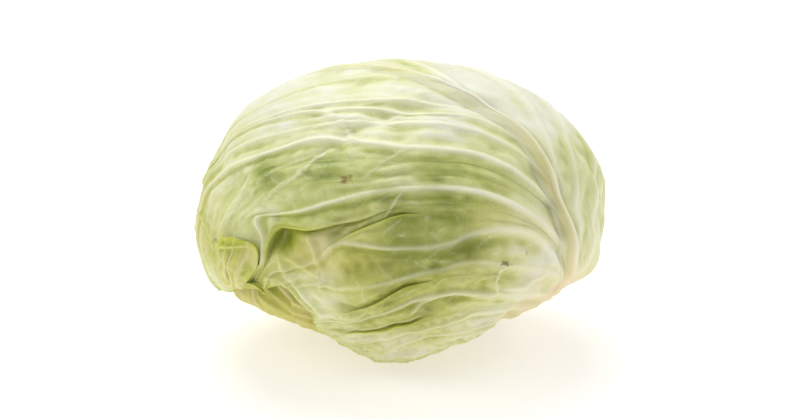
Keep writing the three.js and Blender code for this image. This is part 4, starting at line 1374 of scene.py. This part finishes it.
class Head:
    """The whole head: piles the leaves up, lets the pile into the outer form and builds every piece."""

    REST_AT = np.array([-1.0, 3.0])  # mm, the middle of the spot that it rests on
    PRESSED = 24.0  # mm round that spot, where the leaves lie pressed together
    PRESSED_EASE = 16.0
    PROUD = 1.2  # mm that the pile stands out of the outer form elsewhere

    def __init__(self) -> None:
        """Lays the leaves one over the other, from the innermost out."""
        thin = {"gap": 0.3, "blade": 0.7, "midrib_rise": 0.5, "midrib_half": 1.2}
        self.leaves = [
            Leaf("inner_leaf_2", DrawingFrame(30, turn=10), "inner_leaf", long=1.24, rows=90,
                 per_interval=12, seed=61, yellow=0.8),
            Leaf("inner_leaf_1", DrawingFrame(-86, turn=-8), "inner_leaf", wide=0.8, long=1.2, rows=120,
                 per_interval=15, seed=51, yellow=0.7),
            Leaf("wrapper_leaf_4", DrawingFrame(74, turn=8), wide=1.2, rows=100, per_interval=14, seed=41,
                 yellow=0.4),
            Leaf("wrapper_leaf_2", DrawingFrame(118, turn=-10), wide=1.2, long=1.25, rows=160,
                 per_interval=25, seed=21, yellow=1.1, rib_rise=0.9, vein_show=0.4, edge_ragged=0.004,
                 folds=LOWER_FOLDS, paint=LOWER_PAINT),
            Leaf("wrapper_leaf_3", DrawingFrame(-142, turn=8), ribs=SLIM_RIBS, wide=0.92, long=1.12,
                 rows=170, per_interval=27, seed=31, yellow=0.3, edge_ragged=0.006, folds=FAR_FOLDS,
                 paint=FAR_PAINT),
            Leaf("wrapper_leaf_1", FRONT, midrib=FRONT_MIDRIB, ribs=FRONT_RIBS, rows=206, per_interval=15,
                 room=2.0, seed=11, rib_rise=1.15, edge_wave=0.2, edge_curl=0.25, edge_ragged=0.002,
                 midrib_half=4.0, midrib_rise=3.2, room_marks=FRONT_ROOM_MARKS, hollows=FRONT_HOLLOWS,
                 folds=FRONT_FOLDS, paint=FRONT_PAINT, scars=FRONT_SCARS),
            Leaf("crown_cap", FRONT, "inner_leaf", False, midrib=CAP_MIDRIB, ribs=CAP_RIBS, rows=90,
                 per_interval=20, seed=81, edge_wave=0.5, edge_curl=0.9, edge_ragged=0.03, foot_half=11.0,
                 stalk_half=4.0, rib_rise=0.7, pucker=1.2, yellow=0.6, room_marks=CAP_ROOM_MARKS,
                 folds=CAP_FOLDS, paint=CAP_PAINT, **thin),
            Leaf("crown_tip", FRONT, "inner_leaf", False, midrib=TIP_MIDRIB, ribs=TIP_RIBS, rows=50,
                 per_interval=12, seed=91, edge_wave=0.3, edge_curl=0.8, edge_ragged=0.02, foot_half=1.6,
                 stalk_half=1.0, rib_rise=0.4, pucker=0.3, yellow=0.9, room_marks=TIP_ROOM_MARKS,
                 paint=TIP_PAINT, **thin),
        ]
        pile = PileMap()
        for leaf in self.leaves:
            leaf.shape(pile.spread(4).blurred(4) if leaf.node else pile.spread(1).blurred(3))
            if leaf.node:
                pile = pile.raised(leaf.g, leaf.height)
        self.even = pile.filled_to_stem(22).spread(3).blurred(9)
        self.exact = pile.blurred(3)

    def place(self, g: Array, height: Array) -> Array:
        """Points of the head for directions of growth and heights over the heart.

        Args:
            g: directions on the sphere of growth.
            height: mm over the heart's even surface.
        Returns:
            Millimetres from the middle of the head.
        """
        d = GROWTH.to_head(g)
        down = OUTER.rest_height / np.maximum(-d[..., 2], 0.3)
        to_spot = np.hypot(d[..., 0] * down - self.REST_AT[0], d[..., 1] * down - self.REST_AT[1])
        pressed = np.where(d[..., 2] < -0.3, 1 - ease((to_spot - self.PRESSED) / self.PRESSED_EASE), 0)
        sunk = mix(self.even.sample(g) - self.PROUD, self.exact.sample(g), pressed)
        return d * (OUTER.radius(d) - sunk + height)[..., None]

    def build(self) -> list[tuple[bpy.types.Object, str]]:
        """Makes every piece of the head, reports each and gives it with its material slot."""
        pieces = [(Stem().build(), "stem_cut"), (Heart().build(self), "heart_leaf"),
                  *[(leaf.build(self), leaf.slot) for leaf in self.leaves]]
        for piece, _ in pieces:
            LOG.info("%s: %d faces", piece.name, len(piece.data.polygons))
        return pieces


# ---- Finishes ------------------------------------------------------------------------------------
def linear(colour: str) -> tuple[float, float, float, float]:
    """Linear RGBA of an sRGB hex colour."""
    parts = [int(colour[i:i + 2], 16) / 255 for i in (1, 3, 5)]
    return (*[p / 12.92 if p <= 0.04045 else ((p + 0.055) / 1.055) ** 2.4 for p in parts], 1.0)


class Graph:
    """The nodes of one material."""

    def __init__(self, name: str) -> None:
        """Starts an empty material."""
        self.material = bpy.data.materials.new(name)
        self.material.use_nodes = True
        self.tree = self.material.node_tree
        self.tree.nodes.clear()

    def add(self, kind: str, settings: dict | None = None, **inputs: object) -> bpy.types.Node:
        """Adds one node, with its settings and its inputs set or linked.

        Args:
            kind: the node's type.
            settings: its properties by name.
            **inputs: values or sockets by input name with _ for a space, or by number as i0, i1, ...
        Returns:
            The node.
        """
        made = self.tree.nodes.new(kind)
        for key, value in (settings or {}).items():
            setattr(made, key, value)
        for key, value in inputs.items():
            by_number = key[0] == "i" and key[1:].isdigit()
            socket = made.inputs[int(key[1:]) if by_number else key.replace("_", " ")]
            if isinstance(value, bpy.types.NodeSocket):
                self.tree.links.new(value, socket)
            else:
                socket.default_value = value
        return made


@dataclass(frozen=True)
class LeafFinish:
    """Cabbage leaf, grown: waxy skin on watery flesh, so light goes in a little and the gloss is broad."""

    name: str
    white: str
    pale: str
    mid: str
    green: str
    vein: str
    lime: str
    yellow_and_painted_shade: str
    blanch_and_painted_light: str
    shade_olive: str
    scar: str = "#7C5A10"

    def material(self) -> bpy.types.Material:
        """Lays colours over each other from the wax-pale ground up, each by its attribute or noise.

        Returns:
            The leaf's material.
        """
        graph = Graph(self.name)
        add = graph.add
        tint = add("ShaderNodeAttribute", {"attribute_name": "tint"})
        parts = add("ShaderNodeSeparateColor", Color=tint.outputs["Color"])
        second = add("ShaderNodeAttribute", {"attribute_name": "marks"})
        more = add("ShaderNodeSeparateColor", Color=second.outputs["Color"])
        uv = add("ShaderNodeUVMap", {"uv_map": "drawing"}).outputs[0]

        def noise(size: float, detail: float) -> bpy.types.NodeSocket:
            """Noise with patches of a size in mm of the drawing."""
            return add("ShaderNodeTexNoise", Vector=uv, Scale=DRAWING_WIDTH / size, Detail=detail,
                       Roughness=0.6).outputs["Fac"]

        patch = noise(26, 4.0)
        speck = noise(1.3, 2.0)
        mottle = noise(6, 3.0)
        # The finest veins: a net of cells about 8 mm across, bent by noise and broken up by the mottling.
        bent = add("ShaderNodeTexNoise", Vector=uv, Scale=DRAWING_WIDTH / 9, Detail=2.0).outputs["Color"]
        shaken = add("ShaderNodeVectorMath", {"operation": "MULTIPLY_ADD"}, i0=bent, i1=(0.03, 0.03, 0.0),
                     i2=uv)
        net = add("ShaderNodeTexVoronoi", {"feature": "DISTANCE_TO_EDGE"}, Vector=shaken.outputs[0],
                  Scale=DRAWING_WIDTH / 8)
        line = add("ShaderNodeMapRange", {"interpolation_type": "SMOOTHSTEP"}, Value=net.outputs["Distance"],
                   From_Min=0.0, From_Max=0.08, To_Min=1.0, To_Max=0.0).outputs[0]
        # Waxy bloom and growth make the green uneven: broad patches, streaks along the ribs and mottling;
        # painted shade makes it greener in the valleys between puckers, in the furrows and at marked shadow
        # spots.
        fused = {"operation": "MULTIPLY_ADD"}
        green = add("ShaderNodeMath", fused, i0=patch, i1=0.5, i2=-0.25).outputs[0]
        for part, amount, offset in ((more.outputs[1], 1.1, 0.0), (mottle, 0.3, -0.15),
                                     (second.outputs["Alpha"], 0.42, -0.2)):
            scaled = add("ShaderNodeMath", fused, i0=part, i1=amount, i2=offset).outputs[0]
            green = add("ShaderNodeMath", {"operation": "ADD"}, i0=green, i1=scaled).outputs[0]
        blend = {"data_type": "RGBA"}
        colour = linear(self.white)
        for stop, over in ((0.05, self.pale), (0.38, self.mid), (0.71, self.green)):
            share = add("ShaderNodeMapRange", Value=green, From_Min=stop, From_Max=stop + 0.33).outputs[0]
            colour = add("ShaderNodeMix", blend, i0=share, i6=colour, i7=linear(over)).outputs[2]
        # Layered over it: yellow with painted shade on the midrib's flank and groove; the vein net; lime,
        # painted shade in the creases' dips; painted shade in olive; the veins; blanch, partly painted
        # light; specks, real, in the same olive; and scars.
        layers = (
            (more.outputs[2], 0.85, self.yellow_and_painted_shade),
            (line, 0.06, self.vein),
            (parts.outputs[1], 1.0, self.lime),
            (tint.outputs["Alpha"], 0.9, self.shade_olive),
            (parts.outputs[0], 0.85, self.vein),
            (parts.outputs[2], 1.0, self.blanch_and_painted_light),
            (speck, 0.08, self.shade_olive),
            (more.outputs[0], 0.85, self.scar),
        )
        clamped = {"operation": "MULTIPLY", "use_clamp": True}
        for factor, amount, over in layers:
            share = add("ShaderNodeMath", clamped, i0=factor, i1=amount).outputs[0]
            colour = add("ShaderNodeMix", blend, i0=share, i6=colour, i7=linear(over)).outputs[2]
        # Skin relief: specks, a soft crepe where the wax is worn, and the raised net.
        height = add("ShaderNodeMath", fused, i0=speck, i1=0.35, i2=mottle).outputs[0]
        height = add("ShaderNodeMath", fused, i0=line, i1=0.2, i2=height).outputs[0]
        bump = add("ShaderNodeBump", Strength=0.6, Distance=0.00035, Height=height).outputs[0]
        rough = add("ShaderNodeMath", fused, i0=patch, i1=0.2, i2=0.34).outputs[0]
        skin = add("ShaderNodeBsdfPrincipled", Base_Color=colour, Roughness=rough, IOR=1.45, Normal=bump,
                   Subsurface_Weight=0.4, Subsurface_Radius=(1.0, 1.0, 0.3), Subsurface_Scale=0.003)
        add("ShaderNodeOutputMaterial", Surface=skin.outputs[0])
        return graph.material


@dataclass(frozen=True)
class StemFinish:
    """Cut cabbage stem: moist pale pith inside a fibrous ring, the cut a little browned as it dries."""

    name: str = "cabbage_stem_cut"
    pith: str = "#EFE6C4"
    ring: str = "#D9CB92"
    dried: str = "#C9A877"

    def material(self) -> bpy.types.Material:
        """Mixes pith, ring and dried patches.

        Returns:
            The stem's material.
        """
        graph = Graph(self.name)
        add = graph.add
        cut = add("ShaderNodeAttribute", {"attribute_name": "cut"})
        parts = add("ShaderNodeSeparateColor", Color=cut.outputs["Color"])
        place = add("ShaderNodeTexCoord").outputs["Object"]
        # Object coordinates are metres: scales of 900 and 140 give fibres of about 1 mm and 7 mm blotches.
        fibre = add("ShaderNodeTexNoise", Vector=place, Scale=900.0, Detail=3.0).outputs["Fac"]
        blotch = add("ShaderNodeTexNoise", Vector=place, Scale=140.0, Detail=3.0).outputs["Fac"]
        at_ring = add("ShaderNodeMapRange", {"interpolation_type": "SMOOTHSTEP"}, Value=parts.outputs[1],
                      From_Min=0.72, From_Max=0.86).outputs[0]
        blend = {"data_type": "RGBA"}
        colour = add("ShaderNodeMix", blend, i0=at_ring, i6=linear(self.pith),
                     i7=linear(self.ring)).outputs[2]
        share = add("ShaderNodeMath", {"operation": "MULTIPLY"}, i0=blotch, i1=0.5).outputs[0]
        colour = add("ShaderNodeMix", blend, i0=share, i6=colour, i7=linear(self.dried)).outputs[2]
        bump = add("ShaderNodeBump", Strength=0.7, Distance=0.0003, Height=fibre).outputs[0]
        skin = add("ShaderNodeBsdfPrincipled", Base_Color=colour, Roughness=0.6, IOR=1.4, Normal=bump,
                   Subsurface_Weight=0.25, Subsurface_Radius=(1.0, 0.8, 0.4), Subsurface_Scale=0.003)
        add("ShaderNodeOutputMaterial", Surface=skin.outputs[0])
        return graph.material


WRAPPER = LeafFinish(name="cabbage_leaf_outer", white="#EBEDD5", pale="#DEE1A9", mid="#BDC472",
                     green="#87963C", vein="#F6F4E0", lime="#B2BD34", yellow_and_painted_shade="#CBC050", blanch_and_painted_light="#F0DFB8",
                     shade_olive="#6C7212")
INNER = LeafFinish(name="cabbage_leaf_inner", white="#E6E5C0", pale="#DEDC9C", mid="#C8C770",
                   green="#A3A845", vein="#ECEAC4", lime="#B9C03A", yellow_and_painted_shade="#CFC256", blanch_and_painted_light="#F2E3C2",
                   shade_olive="#7A7E2A")


# ---- Studio --------------------------------------------------------------------------------------
@dataclass(frozen=True)
class Studio:
    """White floor that glows a little like a lit table, soft lights and the camera."""

    lens: float = 85.0  # mm, as is the sensor's width
    sensor: float = 36.0
    away: float = 917.0  # mm from the middle of the head
    raise_view: float = 1.2
    floor_half: float = 6.0  # metres
    world: float = 0.57  # brightness of the white surroundings
    floor_glow: float = 0.5

    def camera(self) -> None:
        """Looks along +Y and 22 degrees down at the middle of the head."""
        toward = np.array([0.0, -np.cos(RIM_LEAN), np.sin(RIM_LEAN)])
        up = np.array([0.0, np.sin(RIM_LEAN), np.cos(RIM_LEAN)])
        place = (MIDDLE + toward * self.away + up * self.raise_view) * MM
        data = bpy.data.cameras.new("view")
        data.lens = self.lens
        data.sensor_width = self.sensor
        data.clip_end = 20.0
        camera = bpy.data.objects.new("view", data)
        rows = [[float(k == 0), up[k], toward[k], place[k]] for k in range(3)]
        camera.matrix_world = Matrix([*rows, [0, 0, 0, 1]])
        bpy.context.scene.collection.objects.link(camera)
        bpy.context.scene.camera = camera

    def lamp(self, name: str, at: tuple[float, float, float], size: float, power: float) -> None:
        """A square soft light that faces the head.

        Args:
            name: the light's name.
            at: its place in metres.
            size: its side in metres.
            power: watts.
        """
        data = bpy.data.lights.new(name, "AREA")
        data.size = size
        data.energy = power
        light = bpy.data.objects.new(name, data)
        light.location = at
        light.rotation_euler = (Vector((0, 0, 0.06)) - Vector(at)).to_track_quat("-Z", "Y").to_euler()
        bpy.context.scene.collection.objects.link(light)

    def build(self) -> None:
        """Makes the floor, the world, the lights and the camera."""
        mesh = bpy.data.meshes.new("floor")
        half = self.floor_half
        corners = [(-half, -half, 0), (half, -half, 0), (half, half, 0), (-half, half, 0)]
        mesh.from_pydata(corners, [], [(0, 1, 2, 3)])
        floor = bpy.data.objects.new("floor", mesh)
        bpy.context.scene.collection.objects.link(floor)
        graph = Graph("studio_floor")
        paper = graph.add("ShaderNodeBsdfDiffuse", Color=linear("#D9D4D0"))
        glow = graph.add("ShaderNodeEmission", Color=linear("#FFFFFF"), Strength=self.floor_glow)
        both = graph.add("ShaderNodeAddShader", i0=paper.outputs[0], i1=glow.outputs[0])
        graph.add("ShaderNodeOutputMaterial", Surface=both.outputs[0])
        mesh.materials.append(graph.material)
        world = bpy.data.worlds.new("studio")
        world.use_nodes = True
        world.node_tree.nodes["Background"].inputs["Color"].default_value = linear("#FFFFFF")
        world.node_tree.nodes["Background"].inputs["Strength"].default_value = self.world
        bpy.context.scene.world = world
        self.lamp("top_back", (-0.25, 0.8, 1.5), 1.2, 16.3)
        self.lamp("left", (-1.3, -0.3, 1.1), 0.8, 5.0)
        self.lamp("right", (1.3, 0.3, 0.9), 0.8, 3.5)
        bpy.context.scene.view_settings.view_transform = "Standard"
        bpy.context.scene.view_settings.look = "None"
        self.camera()


def main() -> None:
    """Builds the head, dresses it and sets the studio."""
    logging.basicConfig(level=logging.INFO, format="%(name)s: %(message)s")
    Studio().build()
    outer, inner, stem = WRAPPER.material(), INNER.material(), StemFinish().material()
    finishes = {"stem_cut": stem, "heart_leaf": inner, "inner_leaf": inner, "wrapper_leaf": outer}
    for piece, slot in Head().build():
        piece.data.materials.append(finishes[slot])


if __name__ == "__main__":
    main()
